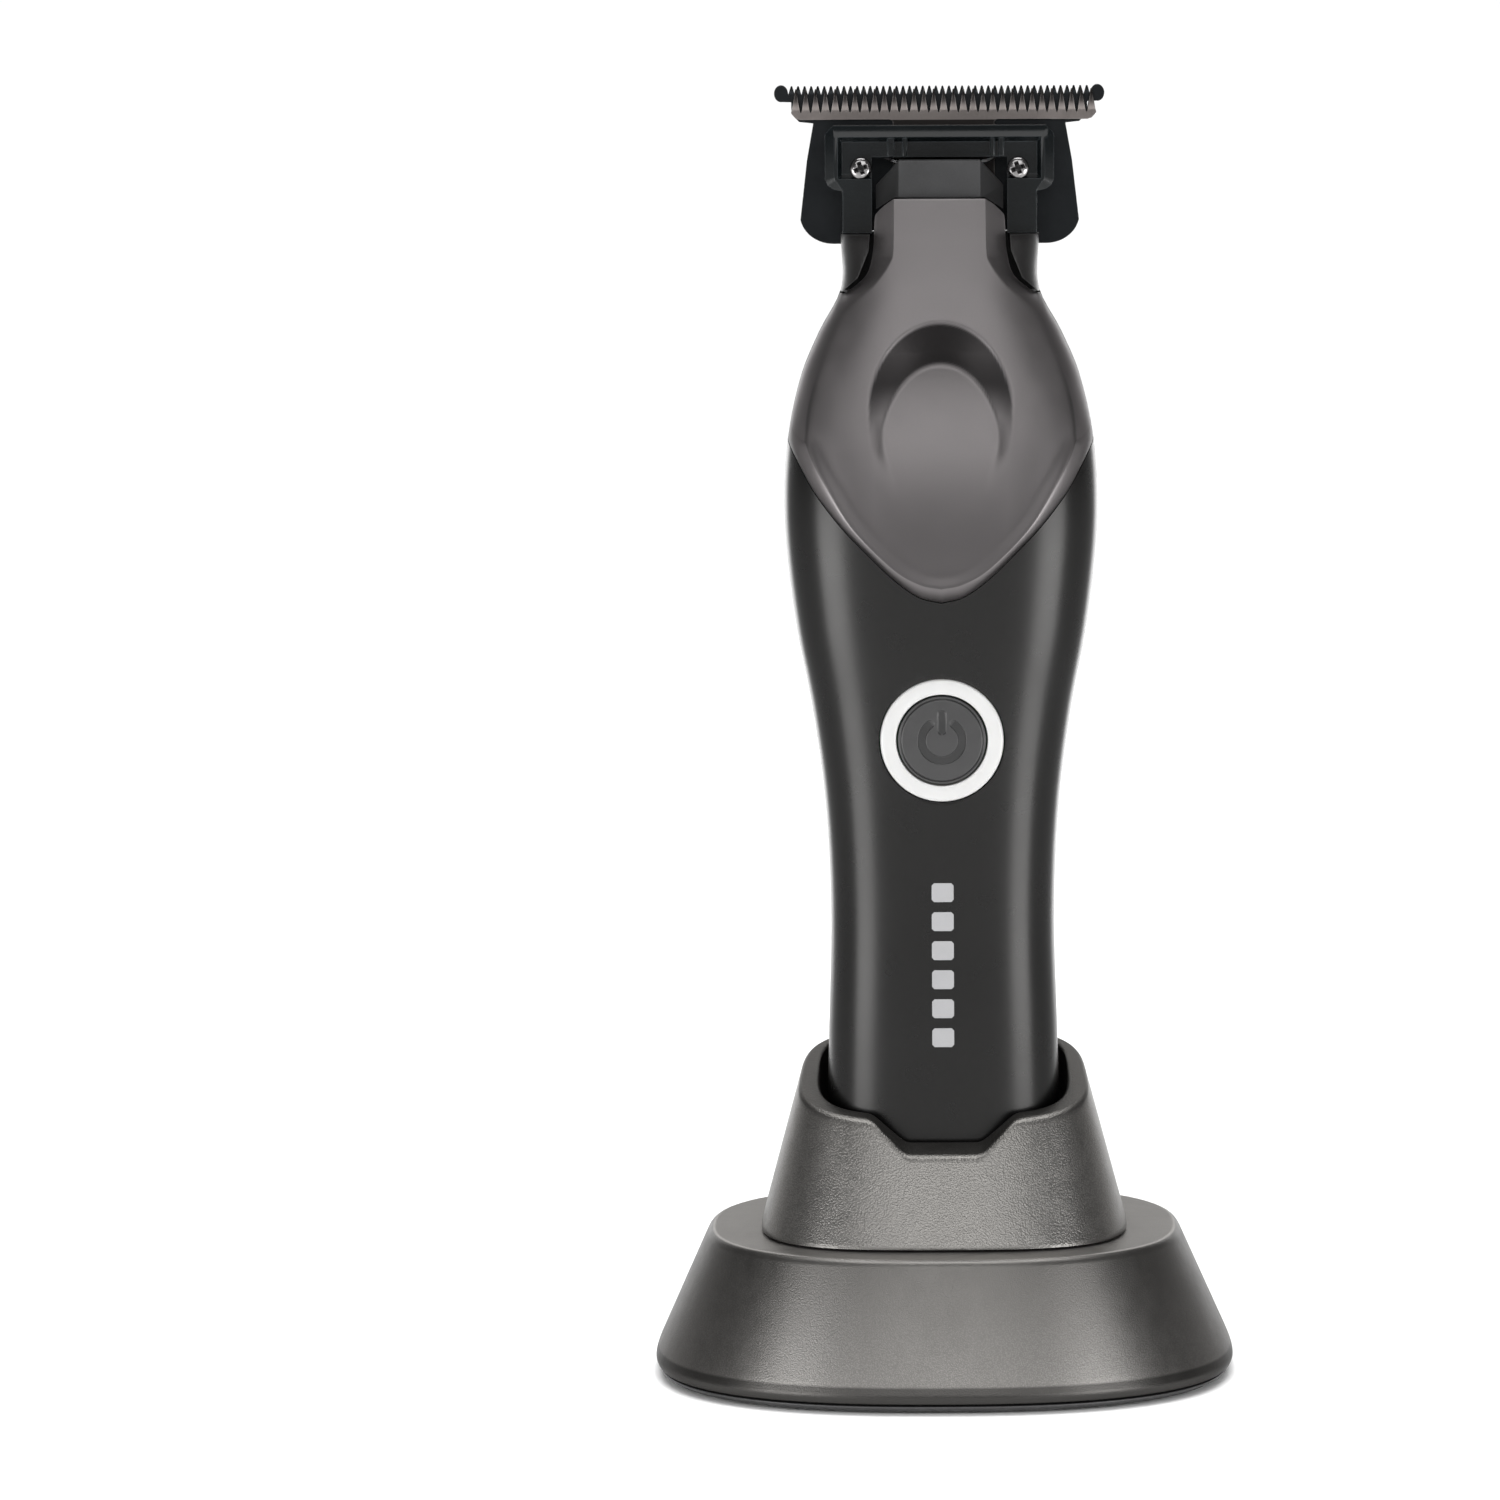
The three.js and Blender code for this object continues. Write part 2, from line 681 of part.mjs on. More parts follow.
add("motor_can", motorCan(), materials.steel);
const bellTop = motorBottom - gap;
add("motor_end_bell", tube(motorRadius, 3.4, bellTop - 1.6, bellTop), materials.blackPlastic);
add("upper_bearing", bearing(motorTop - 1.6, motorTop + 1.4), materials.chrome);
add("lower_bearing", bearing(motorBottom - 1.9, motorBottom + 0.9), materials.chrome);
add("motor_shaft", rod(shaftRadius, motorBottom - 1.2, 154.2), materials.steel);
add("rotor_magnet", tube(6.2, shaftRadius + 0.3, 106.5, 126), materials.darkGrey);
add("stator_coils", tube(8.2, 6.8, 105.5, 127), materials.copper);
add("eccentric_cam", eccentricCam(), materials.whitePlastic);
add("motor_mount", motorMount(), materials.blackPlastic);
for (const [side, x] of [
  ["left", -6],
  ["right", 6],
]) {
  const placed = screw(1.5, 0.9, 0.75, 5).translate(x, 0, motorTop + gap + 2.8);
  add("motor_screw_" + side, placed, materials.steel);
}
add("inner_frame", innerFrame(), materials.blackPlastic);

// ---------------------------------------------------------------- trimmer: power and controls

function batteryCell() {
  return turned([
    [0, cellBottom],
    [cellRadius - 0.5, cellBottom],
    [cellRadius, cellBottom + 0.5],
    [cellRadius, cellTop - 1.4],
    [cellRadius - 1, cellTop - 0.9],
    [3, cellTop - 0.9],
    [3, cellTop],
    [0, cellTop],
  ]);
}

// The button: a domed cap in the ring with a stem that reaches for the switch.
function powerButton() {
  const profile = [
    [0, buttonFace],
    [buttonRadius - 0.4, buttonFace],
    [buttonRadius, buttonFace + 0.3],
    [buttonRadius, buttonFace + 1.9],
    [1.8, buttonFace + 1.9],
    [1.8, -10 - buttonTravel],
    [0, -10 - buttonTravel],
  ];
  return alongY(turned(profile, [0, 0], 20), 0, buttonZ);
}

function lightRing() {
  const profile = [
    [ringInner, buttonFace],
    [ringOuter, buttonFace],
    [ringOuter, -10.4],
    [ringOuter - 0.8, boardFront - gap],
    [ringInner + 0.5, boardFront - gap],
    [ringInner, -10.4],
    [ringInner, buttonFace],
  ];
  return alongY(turned(profile, [0, 0], 20), 0, buttonZ);
}

function chargingPort(y0, y1) {
  const round = (w, h) => {
    const shape = new THREE.Shape();
    shape.moveTo(-w + h, -h);
    shape.lineTo(w - h, -h);
    shape.absarc(w - h, 0, h, -Math.PI / 2, Math.PI / 2);
    shape.lineTo(-w + h, h);
    shape.absarc(-w + h, 0, h, Math.PI / 2, (3 * Math.PI) / 2);
    return shape;
  };
  const shell = solidOf(slab(round(4.45, 1.6), y0, y1));
  const mouth = solidOf(slab(round(4.15, 1.3), y0 - 1, y1 - 0.6));
  const tongue = solidOf(box([-3.3, 3.3], [-0.35, 0.35], [y0 + 0.7, y1 - 0.3]));
  return shell.subtract(mouth).add(tongue);
}

add("battery_cell", batteryCell(), materials.cell);
add("control_board", box([-9.5, 9.5], [boardFront, boardFront + 1.2], [74.5, 98]), materials.board);
const tactSwitch = box([-2.6, 2.6], [-9.95, boardFront - 0.05], [buttonZ - 2.6, buttonZ + 2.6]);
add("tact_switch", tactSwitch, materials.steel);
add("power_button", powerButton(), materials.darkGrey);
add("light_ring", lightRing(), materials.whitePlastic);
add("charge_board", box([-10, 10], [-5.2, 5.2], [19.4, 20.4]), materials.board);
add("charging_port", chargingPort(15.2, 19.1), materials.steel);
for (const [side, x] of [
  ["left", -contactX],
  ["right", contactX],
]) {
  const stud = turned(
    [
      [0, bottomZ],
      [1.5, bottomZ],
      [1.5, 18.2],
      [0.8, 18.2],
      [0.8, 19.1],
      [0, 19.1],
    ],
    [x, 0],
    12,
  );
  add("charge_contact_" + side, stud, materials.gold);
}

// ---------------------------------------------------------------- dock

const baseRing = ({ w, d, z }, inset = 0, count = 32) =>
  ring(w - inset, d - inset, d - inset, base.squareness, z, count);

function dockBase() {
  const skin = solidOf(loft(base.profile.map((p) => baseRing(p))));
  const [, widest, , shoulder] = base.profile;
  const roof = { ...shoulder, z: platformZ - 2.2 };
  const hollow = solidOf(
    loft([
      baseRing({ ...widest, z: 0 }, 2.3, 20),
      baseRing({ ...widest, z: 3.8 }, 2.6, 20),
      baseRing(roof, 2.2, 20),
    ]),
  );
  const cupHole = solidOf(loft([14, 22].map((z) => ring(19.4, 16.1, 16.1, socket.squareness, z, 20))));
  let shell = skin.subtract(hollow);
  for (const at of dockScrews) shell = shell.add(solidOf(rod(2.6, 2.6, 18, at, 10)));
  for (const at of dockScrews) shell = shell.subtract(solidOf(rod(1.15, -1, 12, at, 8)));
  return shell.subtract(cupHole).subtract(solidOf(box([-4.8, 4.8], [25, 45], [5.4, 9.2])));
}

// The tower's outer form narrows upwards, more so in front, from the platform to above the rim.
function towerForm(z0, z1, inset = 0) {
  const section = (z) => {
    const run = (z - platformZ) * tower.draft;
    const w = tower.bottomW - run - inset;
    const front = tower.bottomFront - (z - platformZ) * tower.frontDraft - inset;
    return ring(w, front, tower.bottomBack - run - inset, tower.squareness, z, 28);
  };
  return loft([z0, z1].map(section));
}

// Everything above the sloping rim, with the notch in its front.
function rimCutter() {
  const above = box([-40, 40], [-40, 40], [0, 40]);
  const notch = plate(
    [
      [-5.2, -3.8],
      [5.2, -3.8],
      [9.8, 0],
      [9.8, 5],
      [-9.8, 5],
      [-9.8, 0],
    ],
    -40,
    -8,
  );
  const tilted = (g) => solidOf(g.rotateX(rimSlope).translate(0, 0, rimZ));
  return tilted(above).add(tilted(notch));
}

function dockTower() {
  const { w, d, squareness, floor, underside } = socket;
  const cup = solidOf(loft([underside, 32].map((z) => ring(w + 2, d + 2, d + 2, squareness, z, 20))));
  const well = solidOf(loft([floor, towerTop + 5].map((z) => ring(w, d, d, squareness, z))));
  const hollow = solidOf(towerForm(towerBottom - 1, 31, 2.2));
  let solid = solidOf(towerForm(towerBottom, towerTop));
  solid = solid.subtract(hollow).add(cup).subtract(well).subtract(rimCutter());
  for (const x of [contactX, -contactX]) solid = solid.subtract(solidOf(rod(1.3, 10, 16, [x, 0], 12)));
  return solid.subtract(solidOf(box([-5, 5], [-1.4, 1.4], [10, 16]))); // drain slot in the well's floor
}

function dockBottom() {
  const edge = (w, d, z) => baseRing({ w, d, z }, 0, 24);
  let cover = solidOf(loft([edge(38.6, 34, 0.4), edge(39.4, 34.8, 0.9), edge(39.4, 34.8, 1.5 - gap)]));
  cover = cover.add(solidOf(loft([edge(36.4, 32.3, 1), edge(36.4, 32.3, 2.4)])));
  cover = cover.subtract(solidOf(loft([edge(35, 30.9, 1.7), edge(35, 30.9, 3)])));
  for (const at of dockScrews) {
    cover = cover.subtract(solidOf(rod(1.15, -1, 4, at, 8)));
    cover = cover.subtract(solidOf(rod(2.3, -1, 1.1, at, 10)));
  }
  for (const at of dockFeet) cover = cover.subtract(solidOf(rod(4.2 + gap, -1, 1.1, at, 14)));
  return cover;
}

function dockBallast() {
  return loft([2, 4.1].map((z) => baseRing({ w: 22.5, d: 20, z }, 0, 24)));
}

// A spring that stands on the bottom of its barrel and lifts the pin.
function pinSpring(x) {
  class Helix extends THREE.Curve {
    getPoint(t) {
      const turn = t * 2 * Math.PI * 3;
      return new THREE.Vector3(x + 0.75 * Math.cos(turn), 0.75 * Math.sin(turn), 7.2 + 3 * t);
    }
  }
  return wire(new Helix(), 0.16, 24, 4);
}

add("dock_base", dockBase(), materials.dock);
add("dock_tower", dockTower(), materials.dock);
add("dock_bottom", dockBottom(), materials.dockDark);
add("dock_ballast", dockBallast(), materials.steel);
add("dock_board", box([-13, 13], [-9, 27], [4.4, 5.4]), materials.board);
add(
  "dock_inlet",
  geometryOf(chargingPort(0, 8.6)).rotateX(Math.PI / 2).translate(0, 32.6, 7.3),
  materials.steel,
);

for (const [side, x] of [
  ["left", -contactX],
  ["right", contactX],
]) {
  const barrel = turned(
    [
      [0, 5.9],
      [1.9, 5.9],
      [1.9, 12.2],
      [1.25, 12.2],
      [1.25, 6.8],
      [0, 6.8],
    ],
    [x, 0],
    12,
  );
  add("dock_pin_barrel_" + side, barrel, materials.gold);
  add("dock_pin_spring_" + side, pinSpring(x), materials.spring);
  add("dock_pin_" + side, rod(1.05, 10.7, bottomZ - 0.1, [x, 0], 12), materials.gold);
}

for (const [i, at] of dockFeet.entries()) {
  add("dock_foot_" + (i + 1), rod(4.2, 0, 0.8, at, 14), materials.rubber);
}
for (const [i, [x, y]] of dockScrews.entries()) {
  const shank = screw(2, 0.9, 0.85, 8);
  add("dock_screw_" + (i + 1), shank.rotateX(Math.PI).translate(x, y, 0.15), materials.steel);
}

export default trimmer;
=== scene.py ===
"""A cordless T-blade beard trimmer standing in its charging dock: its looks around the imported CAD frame.

Shapes are in millimetres in the frame's axes (+Z up, the trimmer faces -Y) and become metres in new_object().
Materials, lights and the camera are in metres.
"""

import math

import bmesh
import bpy
import numpy as np
from mathutils import Matrix, Quaternion, Vector
from mathutils.kdtree import KDTree


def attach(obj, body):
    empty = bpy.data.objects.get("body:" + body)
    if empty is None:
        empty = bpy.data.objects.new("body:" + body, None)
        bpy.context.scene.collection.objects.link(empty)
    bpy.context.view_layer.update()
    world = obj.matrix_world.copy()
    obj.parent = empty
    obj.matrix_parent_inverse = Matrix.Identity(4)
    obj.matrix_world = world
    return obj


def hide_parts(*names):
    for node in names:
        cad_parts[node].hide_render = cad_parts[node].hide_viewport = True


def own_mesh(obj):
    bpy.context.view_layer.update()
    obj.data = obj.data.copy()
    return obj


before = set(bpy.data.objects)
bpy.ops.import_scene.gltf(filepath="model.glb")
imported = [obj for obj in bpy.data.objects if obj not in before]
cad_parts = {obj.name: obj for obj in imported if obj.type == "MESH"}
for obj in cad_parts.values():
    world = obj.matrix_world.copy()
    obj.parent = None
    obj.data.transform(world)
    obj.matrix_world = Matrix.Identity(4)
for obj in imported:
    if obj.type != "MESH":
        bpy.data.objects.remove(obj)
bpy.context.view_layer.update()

MM = 0.001
scene = bpy.context.scene

# ---------------- the body's form, as in the CAD source

STATIONS = [  # height, half width, front depth, back depth
    (14.6, 15.6, 12.0, 12.0),
    (30, 16.1, 12.6, 12.6),
    (47, 15.8, 12.5, 12.4),
    (64, 15.4, 12.3, 12.0),
    (79, 16.05, 12.6, 12.2),
    (92, 17.7, 13.2, 12.7),
    (104.5, 20.0, 14.0, 13.2),
    (118, 21.4, 14.6, 13.2),
    (129, 21.0, 14.2, 12.4),
    (138, 19.1, 13.0, 10.9),
    (144, 16.6, 11.8, 9.4),
    (150, 13.55, 10.6, 8.0),
    (157.3, 13.55, 9.8, 6.1),
    (163, 13.55, 9.4, 6.1),
]
BODY_N = 3.5  # superellipse exponent of the body's section
GAP = 0.3
WALL = 1.9
BOTTOM_Z = 14.6
CAP_TOP = 17.4
SHOULDER_Z = 149.6
NECK_TOP = 157.5
COVER_TOP = 162.45
COVER_RAISE = 1.2
BUTTON_Z = 89.0
BUTTON_FACE = -13.25
CONTACT_X = 9.0


def body_table():
    """The Catmull-Rom curve through the stations, as rows of height, half width, front and back depth."""
    rows = []
    stations = np.array(STATIONS, float)
    for i in range(len(stations) - 1):
        a, b = stations[i], stations[i + 1]
        before, after = stations[max(i - 1, 0)], stations[min(i + 2, len(stations) - 1)]
        span = b[0] - a[0]
        start = (b - before) / (b[0] - before[0]) * span
        end = (after - a) / (after[0] - a[0]) * span
        for t in np.linspace(0, 1, 40, endpoint=False):
            p = (2 * t**3 - 3 * t**2 + 1) * a + (t**3 - 2 * t**2 + t) * start
            p += (3 * t**2 - 2 * t**3) * b + (t**3 - t**2) * end
            rows.append([a[0] + t * span, p[1], p[2], p[3]])
    rows.append(list(stations[-1]))
    return np.array(rows)


TABLE = body_table()


def width_at(z):
    return np.interp(z, TABLE[:, 0], TABLE[:, 1])


def front_at(z):
    return np.interp(z, TABLE[:, 0], TABLE[:, 2])


def back_at(z):
    return np.interp(z, TABLE[:, 0], TABLE[:, 3])


def even_angles(count, w, d, n):
    """Angles from the front (0) to the side (pi/2) that space points evenly along a superellipse."""
    t = np.linspace(0, math.pi / 2, 2001)
    x, y = w * np.sin(t) ** (2 / n), d * np.cos(t) ** (2 / n)
    run = np.concatenate([[0], np.cumsum(np.hypot(np.diff(x), np.diff(y)))])
    return np.interp(np.linspace(0, run[-1], count + 1), run, t)


def on_body(phi, z, h=0.0, back=False):
    """The point of the body's skin at a signed angle from the middle and a height, moved outwards by h."""
    w = width_at(z)
    d = back_at(z) if back else front_at(z)
    s, c = np.sin(np.abs(phi)), np.maximum(np.cos(phi), 0)
    p = 2 / BODY_N
    x, y = w * s**p, d * c**p
    nx, ny = (x / w) ** (BODY_N - 1) / w, (y / d) ** (BODY_N - 1) / d
    size = np.hypot(nx, ny)
    x, y = x + nx / size * h, y + ny / size * h
    return np.stack([np.sign(phi) * x, y if back else -y, z + 0 * x], axis=-1)


def angle_of(x, z):
    """The angle at which the body's skin has that x."""
    ratio = np.clip(np.abs(x) / width_at(z), 0, 1)
    return np.arcsin(np.clip(ratio ** (BODY_N / 2), 0, 1))


def smooth_curve(points, steps=16):
    """A Catmull-Rom curve through points, as a dense polyline."""
    p = np.array(points, float)
    ext = np.vstack([2 * p[0] - p[1], p, 2 * p[-1] - p[-2]])
    out = []
    for i in range(1, len(ext) - 2):
        a, b, c, d = ext[i - 1 : i + 3]
        for t in np.linspace(0, 1, steps, endpoint=False):
            curved = (2 * a - 5 * b + 4 * c - d) * t * t + (3 * b - a - 3 * c + d) * t**3
            out.append(0.5 * (2 * b + (c - a) * t + curved))
    out.append(p[-1])
    return np.array(out)


def smoothstep(t):
    t = np.clip(t, 0, 1)
    return t * t * (3 - 2 * t)


def between(a, b, t):
    return tuple(p + (q - p) * t for p, q in zip(a, b))


def arc(cx, cz, rx, rz, start, stop, steps=5):
    """Points along an ellipse's arc between two angles in degrees."""
    angles = np.radians(np.linspace(start, stop, steps + 1))
    return [(cx + rx * math.cos(a), cz + rz * math.sin(a)) for a in angles]


def mirrored(points):
    return [(-x, z) for x, z in reversed(points)]


# ---------------- mesh helpers


def new_object(name, verts, faces, closed=False):
    mesh = bpy.data.meshes.new(name)
    places = [tuple(float(c) * MM for c in v) for v in verts]
    mesh.from_pydata(places, [], [tuple(int(i) for i in f) for f in faces])
    mesh.validate()
    obj = bpy.data.objects.new(name, mesh)
    scene.collection.objects.link(obj)
    bm = bmesh.new()
    bm.from_mesh(mesh)
    bmesh.ops.remove_doubles(bm, verts=bm.verts, dist=1e-7)
    bmesh.ops.dissolve_degenerate(bm, edges=bm.edges, dist=1e-8)
    if closed:
        bmesh.ops.recalc_face_normals(bm, faces=bm.faces)
    bm.to_mesh(mesh)
    bm.free()
    return obj


def grid(name, points):
    """An open sheet through a rows-by-columns array of points."""
    rows, cols = points.shape[:2]
    faces = [
        (r * cols + c, r * cols + c + 1, (r + 1) * cols + c + 1, (r + 1) * cols + c)
        for r in range(rows - 1)
        for c in range(cols - 1)
    ]
    return new_object(name, points.reshape(-1, 3), faces)


def tube_of(name, rings, caps=True, loop=False):
    """Rings of equal count joined one to the next; the ends capped, or the last ring joined to the first."""
    rings = [np.asarray(r) for r in rings]
    n, m = len(rings[0]), len(rings)
    faces = []
    for i in range(m if loop else m - 1):
        a, b = i * n, ((i + 1) % m) * n
        faces += [(a + j, a + (j + 1) % n, b + (j + 1) % n, b + j) for j in range(n)]
    if caps and not loop:
        faces.append(tuple(range(n))[::-1])
        faces.append(tuple((m - 1) * n + j for j in range(n)))
    return new_object(name, np.vstack(rings), faces, closed=True)


def ellipse_ring(w, front, back, n, z, angles):
    """A superellipse's ring, anticlockwise from +X. Sizes and height may differ from point to point."""
    x, y = np.sin(angles) ** (2 / n), np.maximum(np.cos(angles), 0) ** (2 / n)
    xs = np.concatenate([x[::-1], -x[1:], -x[-2::-1], x[1:-1]])
    ys = np.concatenate([y[::-1], y[1:], -y[-2::-1], -y[1:-1]])
    return np.stack([w * xs, np.where(ys > 0, back, front) * ys, z + 0 * xs], axis=-1)


def lathe(name, profile, segments=48):
    """A solid of revolution about Z from (radius, z) points, closed on the axis or by a repeated point."""
    angles = np.linspace(0, 2 * math.pi, segments, endpoint=False)
    x, y = np.cos(angles), np.sin(angles)
    rings = [np.stack([r * x, r * y, np.full(segments, z)], axis=-1) for r, z in profile]
    loop = profile[0] == profile[-1]
    return tube_of(name, rings[:-1] if loop else rings, caps=not loop, loop=loop)


def extruded(name, outline, low, high, plane="xz"):
    """A closed outline drawn in one plane and extruded across it."""
    n = len(outline)
    if plane == "xz":
        verts = [(a, low, b) for a, b in outline] + [(a, high, b) for a, b in outline]
    else:
        verts = [(a, b, low) for a, b in outline] + [(a, b, high) for a, b in outline]
    faces = [(i, (i + 1) % n, n + (i + 1) % n, n + i) for i in range(n)]
    faces += [tuple(range(n)), tuple(range(n, 2 * n))]
    return new_object(name, verts, faces, closed=True)


def block(x, y, z):
    return extruded("block", [(x[0], y[0]), (x[1], y[0]), (x[1], y[1]), (x[0], y[1])], z[0], z[1], plane="xy")


def transform(obj, move=(0, 0, 0), turn_x=0.0, turn_z=0.0):
    """Turns a piece's mesh about the axes by degrees, then moves it by millimetres."""
    m = Matrix.Translation(Vector(move) * MM)
    m = m @ Matrix.Rotation(math.radians(turn_z), 4, "Z") @ Matrix.Rotation(math.radians(turn_x), 4, "X")
    obj.data.transform(m)
    return obj


def bake(obj):
    """Applies the object's modifiers."""
    graph = bpy.context.evaluated_depsgraph_get()
    graph.update()
    result = obj.evaluated_get(graph)
    mesh = bpy.data.meshes.new_from_object(result, preserve_all_data_layers=True, depsgraph=graph)
    old = obj.data
    obj.modifiers.clear()
    obj.data = mesh
    mesh.name = obj.name
    bpy.data.meshes.remove(old)
    return obj


def combine(obj, other, operation="DIFFERENCE"):
    """Cuts obj with other, or joins them, and removes other."""
    m = obj.modifiers.new("combine", "BOOLEAN")
    m.operation, m.solver, m.object = operation, "EXACT", other
    bake(obj)
    bpy.data.objects.remove(other)
    return obj


def drill(obj, radius, low, high, place_at, turn_x=0.0, segments=32):
    """Cuts a round hole that runs from low to high along Z, turned about X and moved to its place."""
    tool = lathe("hole", [(0, low), (radius, low), (radius, high), (0, high)], segments)
    return combine(obj, transform(tool, place_at, turn_x=turn_x))


def join(obj, *others):
    """Adds the meshes of others to obj as they are."""
    bm = bmesh.new()
    bm.from_mesh(obj.data)
    for o in others:
        bm.from_mesh(o.data)
        bpy.data.objects.remove(o)
    bm.to_mesh(obj.data)
    bm.free()
    return obj


def thicken(obj, thickness):
    """Turns a sheet into a shell that grows inwards."""
    m = obj.modifiers.new("thicken", "SOLIDIFY")
    m.thickness, m.offset = thickness * MM, -1
    m.use_even_offset = False
    return bake(obj)


def shaded(obj, angle):
    """Shades the piece smoothly, except over edges that are sharper than the angle."""
    obj.data.shade_smooth()
    obj.data.set_sharp_from_angle(angle=math.radians(angle))
    return obj


def soften(obj, width=0.2, segments=2, angle=38):
    """Rounds the sharp edges and shades the rest smoothly."""
    if width:
        m = obj.modifiers.new("soften", "BEVEL")
        m.width, m.segments, m.limit_method = width * MM, segments, "ANGLE"
        m.angle_limit = math.radians(angle)
        m.use_clamp_overlap = True
        m.miter_outer = "MITER_ARC"
        bake(obj)
    shaded(obj, angle)
    m = obj.modifiers.new("normals", "WEIGHTED_NORMAL")
    m.keep_sharp, m.weight = True, 60
    return bake(obj)


def level(obj, *heights):
    """Adds edges across the mesh at these heights, so that a mask can change there."""
    bm = bmesh.new()
    bm.from_mesh(obj.data)
    for z in heights:
        everything = bm.verts[:] + bm.edges[:] + bm.faces[:]
        bmesh.ops.bisect_plane(bm, geom=everything, plane_co=(0, 0, z * MM), plane_no=(0, 0, 1), dist=1e-8)
    bm.to_mesh(obj.data)
    bm.free()
    return obj


def store_mask(obj, name, values):
    layer = obj.data.attributes.new(name, "FLOAT", "POINT")
    layer.data.foreach_set("value", np.clip(values, 0, 1).astype(np.float32))


def marked(obj, name, amount):
    """Stores a mask on the mesh's points: amount gives it from their places in millimetres."""
    store_mask(obj, name, amount(np.array([v.co for v in obj.data.vertices]) / MM))
    return obj


# ---------------- materials


class Graph:
    """Adds nodes to a node tree. An input is a value or another node's socket."""

    def __init__(self, tree):
        self.tree = tree

    def feed(self, socket, value):
        if isinstance(value, bpy.types.NodeSocket):
            self.tree.links.new(value, socket)
        else:
            socket.default_value = value

    def node(self, kind, inputs):
        node = self.tree.nodes.new(kind)
        for key, value in inputs.items():
            self.feed(node.inputs[key], value)
        return node

    def ranged(self, value, low, high, to_low=0.0, to_high=1.0, smooth=False):
        limits = {"From Min": low, "From Max": high, "To Min": to_low, "To Max": to_high}
        node = self.node("ShaderNodeMapRange", {"Value": value, **limits})
        node.interpolation_type = "SMOOTHSTEP" if smooth else "LINEAR"
        return node.outputs["Result"]

    def math(self, operation, a, b):
        node = self.node("ShaderNodeMath", {0: a, 1: b})
        node.operation = operation
        return node.outputs[0]


class Finish(Graph):
    """Builds one procedural material, in object coordinates in metres."""

    def __init__(self, name):
        self.material = bpy.data.materials.new(name)
        self.material.use_nodes = True
        super().__init__(self.material.node_tree)
        self.tree.nodes.clear()
        self.shader = self.node("ShaderNodeBsdfPrincipled", {})
        self.node("ShaderNodeOutputMaterial", {0: self.shader.outputs[0]})
        self.where = self.node("ShaderNodeTexCoord", {}).outputs["Object"]

    def set(self, name, value):
        self.feed(self.shader.inputs[name], value)

    def noise(self, scale, detail=3.0, rough=0.5, stretch=None):
        """Noise over the object's coordinates, stretched by a scale for each axis if that is given."""
        where = self.where
        if stretch:
            where = self.node("ShaderNodeMapping", {"Scale": stretch, "Vector": where}).outputs[0]
        settings = {"Scale": scale, "Detail": detail, "Roughness": rough}
        return self.node("ShaderNodeTexNoise", {"Vector": where, **settings}).outputs["Fac"]

    def cells(self, scale):
        node = self.node("ShaderNodeTexVoronoi", {"Vector": self.where, "Scale": scale})
        node.feature = "SMOOTH_F1"
        node.inputs["Smoothness"].default_value = 0.6
        return node.outputs["Distance"]

    def mix(self, factor, a, b):
        """A colour between a and b, which are colours or sockets."""
        a, b = ((*v, 1) if isinstance(v, tuple) else v for v in (a, b))
        node = self.node("ShaderNodeMix", {})
        node.data_type = "RGBA"
        for socket, value in ((0, factor), (6, a), (7, b)):
            self.feed(node.inputs[socket], value)
        return node.outputs[2]

    def attribute(self, name):
        node = self.node("ShaderNodeAttribute", {})
        node.attribute_name = name
        return node.outputs["Fac"]

    def edges(self, radius):
        """1 on sharp outer edges, 0 on smooth faces."""
        bevel = self.node("ShaderNodeBevel", {"Radius": radius})
        bevel.samples = 4
        true_normal = self.node("ShaderNodeNewGeometry", {}).outputs["Normal"]
        dot = self.node("ShaderNodeVectorMath", {0: bevel.outputs[0], 1: true_normal})
        dot.operation = "DOT_PRODUCT"
        return self.ranged(dot.outputs["Value"], 0.99, 0.86)

    def bump(self, height, amount, normal=None):
        """Adds relief of that many metres, on top of another relief if that is given."""
        inputs = {"Strength": 1.0, "Distance": amount, "Height": height}
        if normal is not None:
            inputs["Normal"] = normal
        return self.node("ShaderNodeBump", inputs).outputs[0]


def tinted(color, factor):
    return tuple(min(1.0, c * factor) for c in color)


